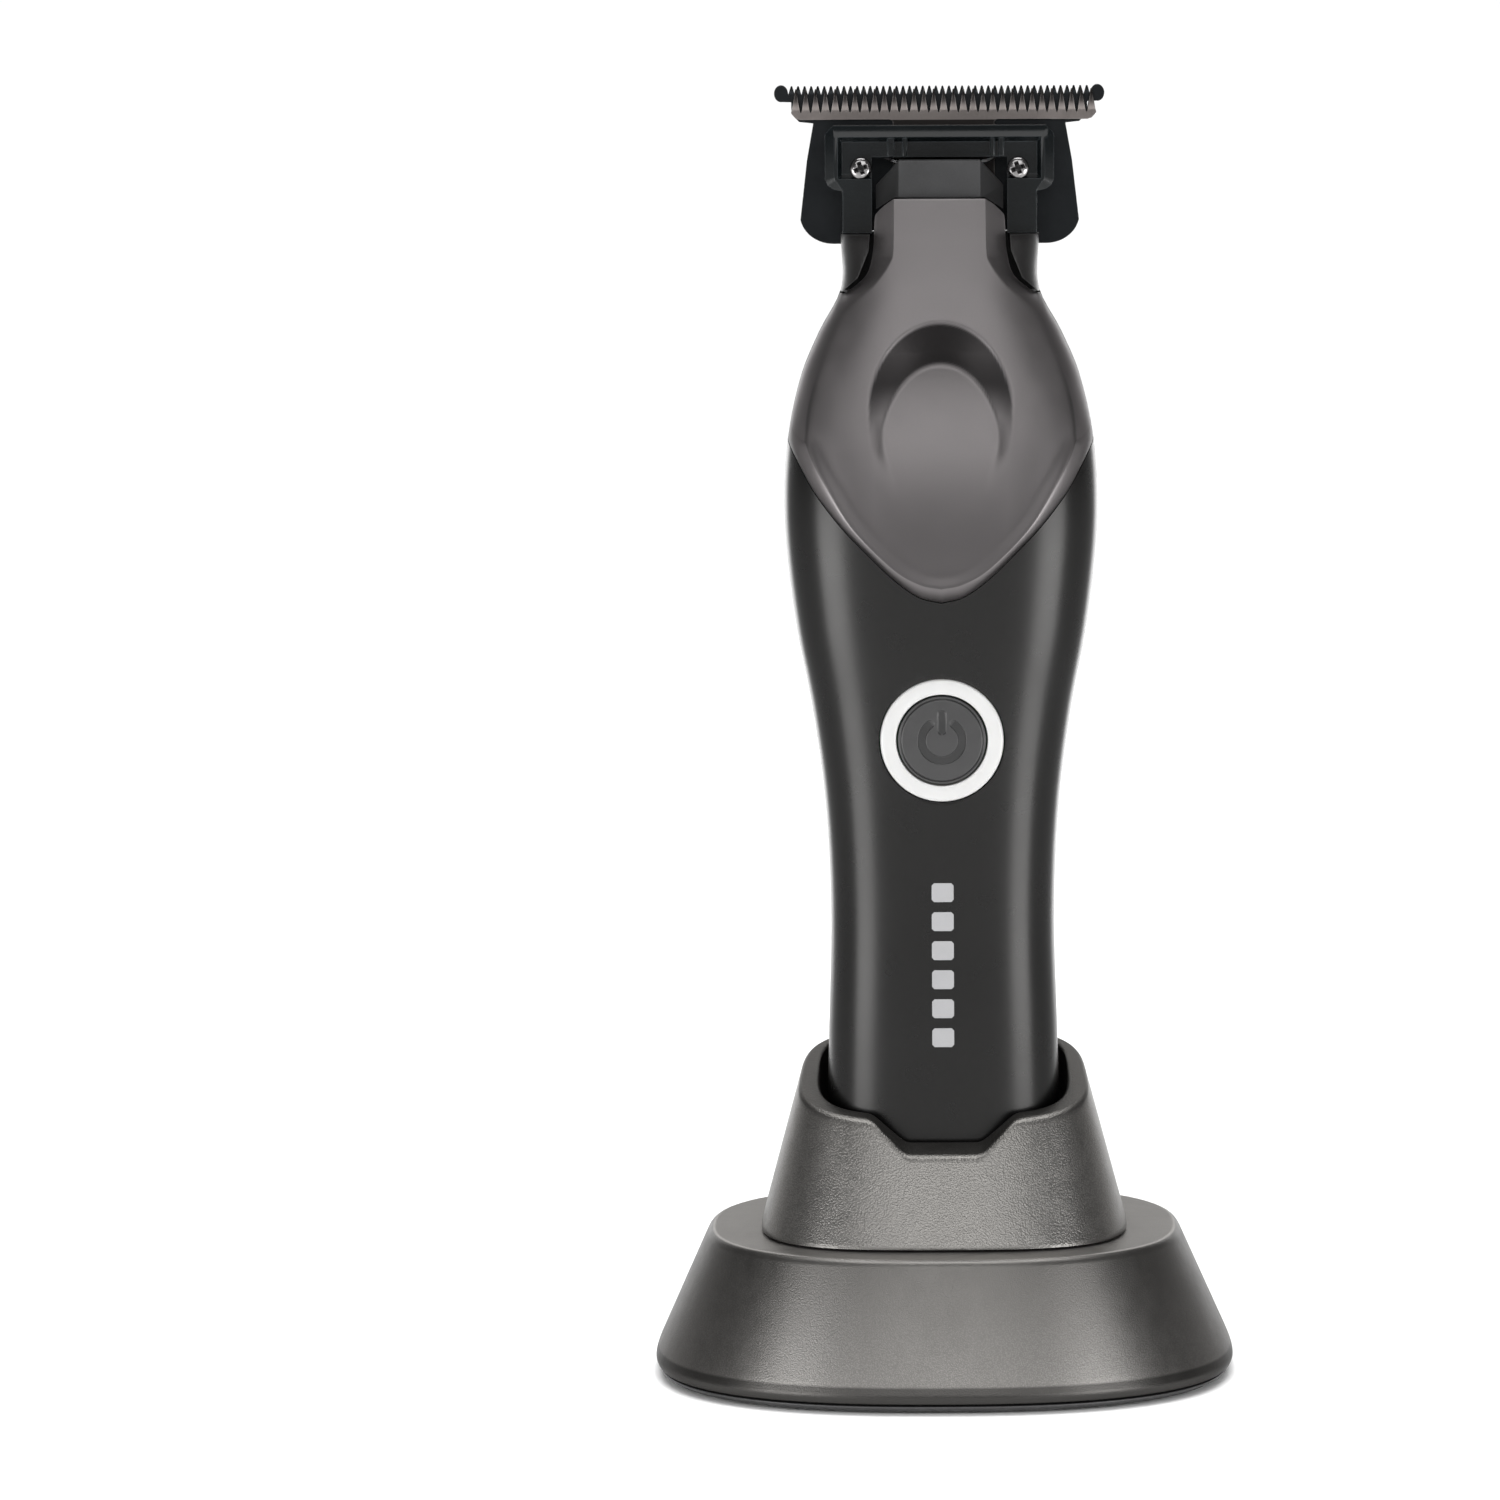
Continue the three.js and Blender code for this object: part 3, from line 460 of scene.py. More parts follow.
def material(
    name,
    color,
    roughness,
    metallic=0.0,
    vary=0.12,
    patch=90,
    fine=2500,
    relief=0.000004,
    cells=None,
    cell_relief=0.0,
    wear=0.0,
    worn=None,
    brushed=None,
    coat=0.0,
    spread=0.06,
    specular=0.5,
    glow=0.0,
    subsurface=0.0,
    masks=(),
    dark=None,
    tint=None,
):
    """A moulded, painted or metal finish: drifting colour, uneven roughness, fine relief and worn edges.

    masks are (attribute, colour factor) pairs for the areas that the mesh marks; most of them are painted
    shade, with a factor under 1, and painted highlight, with a factor over 1. dark names one of them that is
    fully metallic.
    """
    n = Finish(name)
    drift = n.ranged(n.noise(patch, 4.0, 0.55), 0.3, 0.7)
    base = n.mix(drift, tinted(color, 1 - vary), tinted(color, 1 + vary))
    speck = n.ranged(n.noise(fine, 2.0, 0.6), 0.35, 0.65)
    base = n.mix(n.math("MULTIPLY", speck, 0.25), base, tinted(color, 1 + 2 * vary))
    if cells:
        base = n.mix(n.ranged(n.cells(cells), 0.15, 0.55), base, tinted(color, 0.72))
    for attribute, factor in masks:
        base = n.mix(n.attribute(attribute), base, tinted(color, factor))
    rough = n.ranged(n.noise(patch * 4, 3.0, 0.6), 0.3, 0.7, roughness - spread, roughness + spread)
    if wear:
        patchy = n.ranged(n.noise(700, 4.0, 0.7), 0.35, 0.6, 0.35, 1.0)
        edge = n.math("MULTIPLY", n.edges(0.0003), patchy)
        base = n.mix(n.math("MULTIPLY", edge, wear), base, worn or tinted(color, 2.2))
        rough = n.math("SUBTRACT", rough, n.math("MULTIPLY", edge, 0.08 * wear))
    n.set("Base Color", base)
    n.set("Roughness", rough)
    grain = n.noise(1.0, 3.0, 0.7, brushed) if brushed else n.noise(fine, 3.0, 0.6)
    normal = n.bump(grain, relief)
    if cells and cell_relief:
        normal = n.bump(n.cells(cells), -cell_relief, normal)
    n.set("Normal", normal)
    n.set("Metallic", n.ranged(n.attribute(dark), 0.0, 1.0, metallic, 1.0) if dark else metallic)
    n.set("Specular IOR Level", specular)
    n.set("Coat Weight", coat)
    n.set("Coat Roughness", 0.08)
    if tint:
        n.set("Specular Tint", (*tint, 1))
    if subsurface:
        n.set("Subsurface Weight", subsurface)
        n.set("Subsurface Radius", (0.002, 0.002, 0.0016))
    # glow is painted light: a faint even emission that brightens a part which is no lamp.
    if glow:
        n.set("Emission Color", (1.0, 0.97, 0.92, 1))
        n.set("Emission Strength", glow)
    return n.material


def grey(value):
    return (value, value, value)


FINISHES = {
    "satin": material(
        "satin_graphite", (0.0225, 0.0222, 0.0219), 0.28, 0.94, vary=0.05, patch=40, spread=0.012, wear=0.15,
        relief=0.0000008, fine=5000, tint=grey(0.65),
    ),
    "taupe": material(
        "satin_taupe", (0.112, 0.105, 0.106), 0.40, 0.85, vary=0.04, patch=60, spread=0.02, wear=0.25,
        worn=(0.30, 0.29, 0.29), relief=0.0000025, fine=5000, specular=0.35, tint=grey(0.45), dark="recess",
        # The cover's masks are painted light: painted shade towards the V's point, on the recess's steep wall
        # and on the band under the face, and a painted highlight up each side.
        masks=(("lower_painted_shade", 0.62), ("side_painted_highlight", 1.6), ("recess", 0.11), ("band_painted_shade", 0.6)),
    ),
    "end_cap": material("dark_grey_plastic", (0.055, 0.056, 0.058), 0.42, 0.3, wear=0.3, fine=4000),
    "nose": material(
        "nose_grey_plastic", (0.050, 0.050, 0.051), 0.42, 0.85, specular=0.2, wear=0.15, fine=4000,
        # The flank mask is painted shade: the nose cap's flanks are darker than its front.
        relief=0.000003, masks=(("flank", 0.4),),
    ),
    "neck": material(
        "neck_black_plastic", (0.008, 0.0075, 0.0075), 0.38, vary=0.2, wear=0.2, worn=grey(0.06),
        specular=0.16,
    ),
    "gloss": material(
        "gloss_black_plastic", (0.0035, 0.0045, 0.0050), 0.16, vary=0.25, wear=0.5,
        worn=(0.050, 0.058, 0.062), specular=0.22, spread=0.03,
    ),
    "blade_black": material(
        "coated_blade_steel", (0.0085, 0.0095, 0.0105), 0.34, 0.9, brushed=(2500, 2500, 160), relief=0.000003,
        wear=0.4, worn=grey(0.05),
    ),
    "blade_grey": material(
        "ground_blade_steel", (0.125, 0.112, 0.107), 0.34, 0.95, brushed=(3200, 3200, 150), relief=0.000004,
        wear=0.35, worn=(0.36, 0.34, 0.33), masks=(("shade", 0.10),),
    ),
    "nickel": material(
        "dark_nickel_plating", (0.20, 0.195, 0.195), 0.20, 1.0, vary=0.04, spread=0.04,
        # The deep mask is painted shade in the cross recesses of the screws' heads.
        brushed=(900, 900, 6000), relief=0.0000008, masks=(("deep", 0.12),),
    ),
    "steel": material(
        "bright_steel", grey(0.50), 0.32, 1.0, vary=0.08, brushed=(800, 800, 5000), relief=0.000002,
    ),
    "spring": material(
        "spring_steel", (0.55, 0.55, 0.56), 0.28, 1.0, brushed=(4000, 4000, 900), relief=0.0000015,
    ),
    "magnet": material("sintered_magnet", (0.09, 0.09, 0.095), 0.45, 0.8, fine=6000, relief=0.000006),
    "copper": material(
        "enamelled_copper", (0.62, 0.27, 0.12), 0.30, 1.0, brushed=(300, 300, 5200), relief=0.00003,
    ),
    "inner": material("inner_black_plastic", (0.03, 0.03, 0.032), 0.55, fine=3000, relief=0.000006),
    "cam": material("acetal_white", (0.78, 0.77, 0.74), 0.38, vary=0.04, subsurface=0.1, fine=3000),
    "cell": material("cell_sleeve_blue", (0.035, 0.16, 0.38), 0.32, vary=0.08, coat=0.3, fine=1500),
    "board": material(
        "circuit_board_green", (0.012, 0.11, 0.04), 0.38, vary=0.2, cells=900, cell_relief=0.00001, coat=0.2,
    ),
    "button": material(
        "button_grey", (0.026, 0.0257, 0.026), 0.40, 0.2, vary=0.06, wear=0.35, fine=5000, relief=0.000003,
        # The symbol mask is painted shade in the sunk power symbol and in the groove near the rim.
        masks=(("symbol", 0.45),),
    ),
    "ring": material(
        # The ring's faint glow is painted light: the ring is not lit.
        "ring_white", (0.42, 0.42, 0.417), 0.34, vary=0.02, subsurface=0.25, glow=0.03, relief=0.000002,
    ),
    "mark": material("mark_light_grey", (0.25, 0.25, 0.255), 0.4, vary=0.05, fine=5000, relief=0.000003),
    "gold": material(
        "gold_contact", (0.78, 0.55, 0.24), 0.22, 1.0, vary=0.06, wear=0.2, worn=(0.9, 0.8, 0.6),
    ),
    "dock_tower": material(
        "dock_hammered_gunmetal", (0.215, 0.208, 0.198), 0.33, 0.92, vary=0.05,
        cells=4600, cell_relief=0.000036, spread=0.03, wear=0.15, worn=(0.42, 0.41, 0.40),
        # The rim mask is painted shade on the rim's top and at the tower's foot, where it meets the platform.
        fine=7000, relief=0.000005, tint=grey(0.5), masks=(("rim", 0.48),),
    ),
    "dock_base": material(
        "dock_grained_gunmetal", (0.165, 0.159, 0.152), 0.36, 0.92, vary=0.05,
        cells=5600, cell_relief=0.000018, spread=0.03, wear=0.15, worn=(0.40, 0.39, 0.38),
        # Below 3.75 mm the base is darker; just under the platform's level it has painted shade, and the
        # platform's top has painted light.
        fine=9000, relief=0.000004, tint=grey(0.5), masks=(("lip", 0.3), ("brim_painted_shade", 0.55), ("platform", 2.0)),
    ),
    "dock_under": material(
        "dock_underside_plastic", (0.030, 0.030, 0.031), 0.5, vary=0.15,
        cells=1800, cell_relief=0.00002, wear=0.3,
    ),
    "ballast": material(
        "ballast_zinc", (0.32, 0.33, 0.34), 0.5, 0.9, patch=220, vary=0.25, fine=1500, relief=0.00001,
    ),
    "rubber": material("rubber_black", grey(0.018), 0.85, vary=0.2, fine=3500, relief=0.00001, specular=0.3),
}


def place(obj, body, finish, slot, *nodes):
    """Gives a finished piece its material, its body, and the CAD nodes that it stands for."""
    obj.data.materials.clear()
    obj.data.materials.append(FINISHES[finish])
    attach(obj, body)
    if nodes:
        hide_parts(*nodes)


# ---------------- trimmer: the cover

CREASE_X, CREASE_Z = 17.6, 129.7  # where the crease round the cover's face turns from the V to the side
EDGE_X = 19.6  # where the cover's lower edge turns from the V to the side
V_TOP = 130.0  # where the V's edge ends
SIDE_END_Z = 133.0  # where the outer edge of the cover's side starts
V_EDGE = smooth_curve([
    (0, 107.9), (3.1, 108.7), (6.6, 111.2), (10.1, 114.6), (13.6, 118.2), (17.1, 122.7), (19.4, 126.7),
    (21.2, V_TOP),
])
V_EDGE[:, 1] = np.maximum.accumulate(V_EDGE[:, 1])
V_CREASE = smooth_curve([
    (0, 109.9), (2.9, 110.5), (6.6, 112.7), (11.8, 118.1), (15.4, 124.2), (16.9, 127.4),
    (CREASE_X, CREASE_Z),
])
SIDE_CREASE = smooth_curve([  # height, half width
    (CREASE_Z, CREASE_X), (133.6, 17.25), (137.8, 16.25), (143.4, 14.1), (146.8, 12.5), (148.8, 10.8),
    (151.1, 8.5), (153.8, 6.7), (155.8, 6.2), (COVER_TOP, 6.1),
])
OUTER_EDGE = smooth_curve([  # height on the crease, and the angle and height of the edge beside it
    (CREASE_Z, 90, SIDE_END_Z), (138, 90, 141.0), (143.6, 90, 147.2), (145.6, 90, 149.1), (147.2, 84, 149.45),
    (148.6, 74, 149.6), (151.2, 44.5, 151.9), (155.4, 33.4, 155.4), (160.5, 31.0, 159.4),
    (COVER_TOP, 29.9, 160.3),
])
OUTER_EDGE = OUTER_EDGE[np.argsort(OUTER_EDGE[:, 0])]
BODY_ANGLES = even_angles(40, 17, 13, BODY_N)
BOTH_SIDES = np.concatenate([-BODY_ANGLES[::-1], BODY_ANGLES[1:]])
# The cover's grid: shares of the way from the middle to the crease, on to the edge, and up the face.
FACE = np.concatenate([np.linspace(0, 0.94, 58, endpoint=False), [0.94, 0.966, 0.984, 0.994, 1.0]])
BAND = np.array([0.0, 0.04, 0.1, 0.18, 0.28, 0.39, 0.5, 0.61, 0.72, 0.82, 0.91, 0.97, 1.0])
CLIMB = np.concatenate([[0, 0.0015, 0.005], np.linspace(0.01, 1, 190)])


def v_edge(x):
    return np.interp(np.abs(x), V_EDGE[:, 0], V_EDGE[:, 1], right=V_TOP)


def v_edge_at(phi, below=0.0):
    """The height at which the body's skin reaches the V edge at an angle, found in ever smaller steps."""
    z = 125.0
    for _ in range(40):
        x = width_at(z) * math.sin(abs(phi)) ** (2 / BODY_N)
        z = 0.5 * z + 0.5 * (float(v_edge(x)) - below)
    return z


def v_crease(x):
    return np.interp(x, V_CREASE[:, 0], V_CREASE[:, 1])


def recess_depth(x, z):
    """The thumb recess in the cover's face: its depth, and how much of that point lies on its steep wall,
    which gets painted shade.
    """
    outer = np.hypot(x / 9.7, np.maximum(z - 134, 0) / 12)
    inner = np.hypot(x / (4.6 + 3.6 * smoothstep((z - 118) / 15)), np.maximum(z - 128, 0) / 11.8)
    inside, beyond = np.maximum(1 - outer, 0), np.maximum(inner - 1, 0)
    wall = inside / (inside + beyond + 1e-9)
    soft = smoothstep((137.5 - z) / 9)
    shape = (1 - soft) * wall + soft * smoothstep(wall)
    depth = 2.7 * np.clip((z - 117) / 23.5, 0, 1.05) ** 2.1 * shape
    steep = smoothstep(wall / 0.10) * smoothstep((1 - wall) / 0.12) * smoothstep((z - 130) / 8)
    return depth, steep


def edge_raise(z):
    """The outer edge's height over the body's skin: just under it, and deeper beside the neck."""
    return -0.05 - 1.25 * float(smoothstep((z - 145.5) / 7))


def side_drop(t):
    """The share of the raised height left at t across the band beside the face: nearly straight."""
    return (1 - t) ** 1.5


def rows_below_crease():
    """Rows of (angle, height, raise) from the V edge up to the crease."""

    def crease_point(u):
        z = v_crease(CREASE_X * u)
        return angle_of(CREASE_X * u, z), z

    def edge_point(u):
        z = v_edge(EDGE_X * u)
        return angle_of(EDGE_X * u, z), z

    low = edge_raise(0)
    corner, side_end = crease_point(1.0), (math.pi / 2, SIDE_END_Z)
    turn, _ = edge_point(1.0)
    rows = []
    for t in BAND[:0:-1]:
        height = (COVER_RAISE - low) * (1 - t**1.6) ** 0.85  # a round shoulder
        row = [(*between(crease_point(u), edge_point(u), t), low + height) for u in FACE]
        for s in BAND[1:]:
            phi = turn + (math.pi / 2 - turn) * s
            top, bottom = between(corner, side_end, s), (phi, v_edge_at(phi))
            row.append((*between(top, bottom, t), low + height * side_drop(s)))
        rows.append(row)
    return rows


def rows_of_face():
    """Rows of (angle, height, raise) from the crease, where they are V-shaped, to the level top."""
    rows = []
    for v in CLIMB:
        side_z = CREASE_Z + (COVER_TOP - CREASE_Z) * v
        half_width = np.interp(side_z, SIDE_CREASE[:, 0], SIDE_CREASE[:, 1])
        row = []
        for u in FACE:
            start = v_crease(CREASE_X * u)
            z = start + (COVER_TOP - start) * v
            row.append((angle_of(u * half_width, z), z, COVER_RAISE))
        edge_angle, edge_z = (np.interp(side_z, OUTER_EDGE[:, 0], OUTER_EDGE[:, i]) for i in (1, 2))
        start, end = (angle_of(half_width, side_z), side_z), (math.radians(edge_angle), edge_z)
        low = edge_raise(side_z)
        for s in BAND[1:]:
            row.append((*between(start, end, s), low + (COVER_RAISE - low) * side_drop(s)))
        rows.append(row)
    return rows


def distance_to(path, x, z):
    nearest = np.full(x.shape, 1e9)
    for (x0, z0), (x1, z1) in zip(path[:-1], path[1:]):
        dx, dz = x1 - x0, z1 - z0
        t = np.clip(((x - x0) * dx + (z - z0) * dz) / (dx**2 + dz**2 + 1e-9), 0, 1)
        nearest = np.minimum(nearest, np.hypot(x - x0 - t * dx, z - z0 - t * dz))
    return nearest


def front_cover():
    """The cover as one grid along its crease: a face inside it, and a band that slopes to the body."""
    phi, z, h = np.moveaxis(np.array(rows_below_crease() + rows_of_face(), float), -1, 0)
    x = on_body(phi, z)[..., 0]
    first, side = len(BAND) - 1, len(FACE)  # the face's first row, and its count of columns
    on_face = np.zeros_like(h)
    on_face[first:, :side] = 1
    depth, steep = recess_depth(x, z)
    away = distance_to(np.vstack([V_CREASE, SIDE_CREASE[:, ::-1]]), x, z)
    fade = (1 - 0.5 * smoothstep((z - 128) / 10)) * (1 - smoothstep((z - 144) / 6))
    dish = 0.40 * (1 - np.exp(-((away / 1.05) ** 2))) * fade  # the face lies a little under its rim
    h -= (depth + dish) * on_face
    h[first:, side - 1] -= 0.05  # the crease itself is rounded off a little
    right = on_body(phi, z, h)
    skin = np.concatenate([right[:, :0:-1] * [-1, 1, 1], right], axis=1)
    obj = grid("front_cover_shell", skin)

    # Painted shade: the band under the face gets darker towards the V edge.
    below = np.zeros_like(h)  # how far down the band under the face each point is
    below[:first] = smoothstep((BAND[:0:-1] - 0.1) / 0.75)[:, None]
    below[:, side:] *= (1 - BAND[1:])[None, :] ** 0.5
    off_middle = np.maximum(np.abs(x) - 9, 0)
    # Painted shade: the face is darker towards the V's point, where it turns down.
    lower_painted_shade = smoothstep((130 - z + 2.2 * off_middle) / 15) * on_face
    # Painted highlight: a lighter band up each side of the cover, beside the face.
    side_painted_highlight = np.zeros_like(h)
    side_painted_highlight[first:, side:] = smoothstep(BAND[1:] / 0.4)
    side_painted_highlight *= smoothstep((z - 131) / 6) * (1 - smoothstep((z - 146) / 4))
    # new_object() may merge points, so the masks are looked up by place.
    tree = KDTree(skin.shape[0] * skin.shape[1])
    for i, p in enumerate(skin.reshape(-1, 3)):
        tree.insert(Vector(p) * MM, i)
    tree.balance()
    index = [tree.find(v.co)[1] for v in obj.data.vertices]
    # The recess mask is painted shade on the recess's steep wall; the finish is fully metallic there, so that
    # wall keeps no sheen either.
    masks = {"recess": steep * on_face, "band_painted_shade": below, "lower_painted_shade": lower_painted_shade, "side_painted_highlight": side_painted_highlight}
    for name, values in masks.items():
        both = np.concatenate([values[:, :0:-1], values], axis=1).reshape(-1)
        store_mask(obj, name, both[index])
    thicken(obj, 1.5)
    return soften(obj, 0.22, 2, 50)


# ---------------- trimmer: the housings

CASE_SCREWS = [(11.6, 26), (-11.6, 26), (11.3, 66), (-11.3, 66)]
SCREW_SEAT = 7.4
SEAM_GAP = 0.12  # between the cover's V edge and the front housing


def front_housing():
    """The front half of the body, up to the cover's V edge, with the hole for the button."""
    tops = np.array([v_edge_at(phi, SEAM_GAP) for phi in BOTH_SIDES])
    low = CAP_TOP + GAP
    z = low + (tops[None, :] - low) * np.linspace(0, 1, 88)[:, None]
    points = on_body(BOTH_SIDES[None, :] * np.ones_like(z), z)
    points[:, [0, -1], 1] = -GAP / 2
    obj = thicken(grid("front_housing_shell", points), WALL)
    drill(obj, 8.6, -6, 14, (0, -14, BUTTON_Z), turn_x=90, segments=96)
    return soften(obj, 0.2, 2, 40)


def body_ring(section_z, z, inset=0.0):
    """The body's section at section_z as a ring at the height z, moved inwards by inset."""
    sizes = (float(size(section_z)) - inset for size in (width_at, front_at, back_at))
    return ellipse_ring(*sizes, BODY_N, z, BODY_ANGLES)


def seam_tongue(side, low, high):
    """A strip inside one side wall of the rear housing that bridges the seam to the front housing."""
    # Inset from the body's skin, and depth.
    outline = [(2.05, -1.5), (2.05, GAP / 2), (1.8, GAP / 2), (1.8, 1.5), (2.65, 1.5), (2.65, -1.5)]
    heights = np.linspace(low, high, 24)
    rings = [[(side * (width_at(z) - inset), y, z) for inset, y in outline] for z in heights]
    return soften(tube_of("seam_tongue", rings), 0)


def rear_housing():
    """The back half of the body, with a sunk seat and a post for each case screw."""
    z = np.concatenate([np.linspace(CAP_TOP + GAP, 96, 60), np.linspace(97, SHOULDER_Z, 48)])[:, None]
    z = z * np.ones((1, len(BOTH_SIDES)))
    points = on_body(BOTH_SIDES[None, ::-1] * np.ones_like(z), z, back=True)
    points[:, [0, -1], 1] = GAP / 2
    obj = thicken(grid("rear_housing_shell", points), WALL)
    hole_r, post_r, shank_r = 1.75, 2.3, 1.0
    for x, height in CASE_SCREWS:
        drill(obj, hole_r, 0, 12, (x, SCREW_SEAT, height), turn_x=-90)
    soften(obj, 0.2, 2, 40)
    for x, height in CASE_SCREWS:
        top = float(on_body(angle_of(x, height), height, back=True)[1]) - SCREW_SEAT - 1.0
        profile = [[shank_r, -0.8], [post_r, -0.8], [post_r, top], [hole_r, top], [hole_r, 0], [shank_r, 0]]
        post = transform(lathe("post", profile + profile[:1], 32), (x, SCREW_SEAT, height), turn_x=-90)
        join(obj, soften(post, 0))
    for side in (-1, 1):
        join(obj, seam_tongue(side, 30, 62), seam_tongue(side, 70, 97))
    obj.data.set_sharp_from_angle(angle=math.radians(40))
    return obj


def bottom_cap():
    """The end cap: a rounded foot, and a rim that stands inside the housings."""
    foot_r, rim_z = 0.8, CAP_TOP + 1.4
    foot = arc(foot_r, BOTTOM_Z + foot_r, -foot_r, -foot_r, 90, 0)
    rim = ((0, CAP_TOP), (2.7, CAP_TOP), (2.7, rim_z), (4.0, rim_z), (4.0, 16.3))
    rings = [body_ring(BOTTOM_Z, z, inset) for inset, z in foot]
    rings += [body_ring(CAP_TOP, z, inset) for inset, z in rim]
    obj = tube_of("bottom_cap_moulding", rings)
    for x in (CONTACT_X, -CONTACT_X):
        drill(obj, 1.75, 0, 6, (x, 0, 12))
    combine(obj, block((-4.8, 4.8), (-1.95, 1.95), (12, 18)))
    return soften(obj, 0.15, 2, 40)


def charge_mark(number):
    """One of the small blocks in a row up the front. Its corners are rounded."""
    rows = []
    for v in np.linspace(-1, 1, 9):
        z = 44 + 4.0 * number + 1.3 * v
        inset = 1.0 - 0.22 * max(0, (abs(v) - 0.72) / 0.28) ** 2
        x = np.linspace(-1.5, 1.5, 11) * inset
        rows.append(on_body(np.sign(x) * angle_of(x, z), z + 0 * x, 0.035))
    return soften(thicken(grid(f"charge_mark_{number}", np.array(rows)), 0.25), 0.012, 1, 40)


place(front_cover(), "trimmer", "taupe", "cover", "front_cover")
place(front_housing(), "trimmer", "satin", "housing", "front_housing")
place(rear_housing(), "trimmer", "satin", "housing", "rear_housing")
place(bottom_cap(), "trimmer", "end_cap", "end_cap", "bottom_cap")
for number in range(1, 7):
    place(charge_mark(number), "trimmer", "mark", "ring")

# ---------------- screws

THREAD_PITCH = 0.55
BLADE_SCREWS = {"left": -10.7, "right": 10.7}  # x
BLADE_SCREW_Z = 166.4
DOCK_SCREWS = [(27, 8), (-27, 8), (27, -8), (-27, -8)]


def cross_screw(name, head, height, shank, length, dome=0.3):
    """A cross-head screw whose head's top is at z = 0 and whose shank runs down."""
    profile = [(0, -length), (shank * 0.8, -length), (shank, -length + shank), (shank, -height)]
    profile += [(head, -height), (head, -dome - 0.12), (head - 0.06, -dome)]
    for a in np.linspace(0.12, math.pi / 2 - 0.05, 6):
        profile.append((head * math.cos(a) * 0.97, -dome + dome * math.sin(a)))
    profile.append((0, 0))
    obj = lathe(name, profile, 40)
    reach, slot_half = head * 0.72, head * 0.21
    deep = min(height * 0.8, head * 0.7)
    half = [(reach * 0.45, -deep), (reach, 0.0), (reach, 0.3)]
    for turn in (20, 110):
        combine(obj, transform(extruded("slot", mirrored(half) + half, -slot_half, slot_half), turn_z=turn))
    soften(obj, 0.04, 2, 40)

    # Painted shade in the cross recess of the screw's head.
    def cross_recess_painted_shade(p):
        near = np.hypot(p[:, 0], p[:, 1]) < reach
        return 1.0 * ((p[:, 2] < -0.2) & (p[:, 2] > -height) & near)

    return marked(obj, "deep", cross_recess_painted_shade)


def thread(shank, length, start):
    """A shallow spiral round a shank, as a ribbon with a pointed crest that fades at both ends."""
    steps = 20
    last = int((length - start) / THREAD_PITCH) * steps
    rings = []
    for i in range(last + 1):
        a = 2 * math.pi * i / steps
        z = -start - THREAD_PITCH * i / steps
        crest = 0.14 * min(1, i / steps, (last - i) / steps)
        section = ((shank * 0.9, -0.16), (shank + crest, 0), (shank * 0.9, 0.16))
        rings.append([(r * math.cos(a), r * math.sin(a), z + dz) for r, dz in section])
    return soften(tube_of("thread", rings), 0, angle=50)


def screws(kind, model, spots, body, finish, slot):
    """Places copies of one screw. Each spot gives a suffix for the name, a place and a turn about X."""
    for suffix, spot, turn_x in spots:
        obj = bpy.data.objects.new(f"{kind}_piece_{suffix}", model.data.copy())
        obj.data.name = obj.name
        scene.collection.objects.link(obj)
        place(transform(obj, spot, turn_x=turn_x), body, finish, slot, f"{kind}_{suffix}")
    bpy.data.objects.remove(model)


case_model = join(cross_screw("case_model", 1.5, 1.1, 0.8, 16.6), thread(0.8, 16.0, 9.0))
case_spots = [(i + 1, (x, SCREW_SEAT + 1.2, z), -90) for i, (x, z) in enumerate(CASE_SCREWS)]
screws("case_screw", case_model, case_spots, "trimmer", "steel", "screws")
blade_model = join(cross_screw("blade_model", 1.48, 0.95, 0.8, 9.6, dome=0.42), thread(0.8, 9.0, 4.0))
blade_spots = [(side, (x, -4.9, BLADE_SCREW_Z), 90) for side, x in BLADE_SCREWS.items()]
screws("blade_screw", blade_model, blade_spots, "trimmer", "nickel", "blade_screws")
dock_model = join(cross_screw("dock_model", 2.0, 0.9, 0.85, 8), thread(0.85, 7.5, 2.6))
dock_spots = [(i + 1, (x, y, 0.15), 180) for i, (x, y) in enumerate(DOCK_SCREWS)]
screws("dock_screw", dock_model, dock_spots, "dock", "steel", "screws")

# ---------------- trimmer: neck, nose and blade

TOOTH_ROOT = 173.75
CUTTER_X = 0.6  # the cutter's middle at rest


def drilled_for_screws(obj):
    for x in BLADE_SCREWS.values():
        drill(obj, 1.15, -12, 12, (x, 0, BLADE_SCREW_Z), turn_x=90)
    return obj


def neck():
    """The black sleeve: a spigot in the housings, room for the cover's top, and a bore for the shaft."""
    bottom = SHOULDER_Z + 0.1
    rings = [ellipse_ring(11.0, 7.6, 5.4, BODY_N, z, BODY_ANGLES) for z in (145.0, bottom)]
    rings += [body_ring(z, z) for z in (bottom, *np.linspace(SHOULDER_Z + 0.8, NECK_TOP, 9))]
    rings.append(ellipse_ring(13.2, 9.5, 5.75, BODY_N, NECK_TOP, BODY_ANGLES))
    obj = tube_of("neck_sleeve", rings)
    room = [(24, 130), (24, 148.26), (13.86, 149.26), (11.16, 151.7), (9.66, 155.4), (9.16, 162.8)]
    combine(obj, extruded("room", [(0, 130), *room, *mirrored(room)], -30, GAP / 2))
    drill(obj, 4.4, 0, 20, (0, 0, 142), segments=48)
    return soften(obj, 0.2, 2, 40)


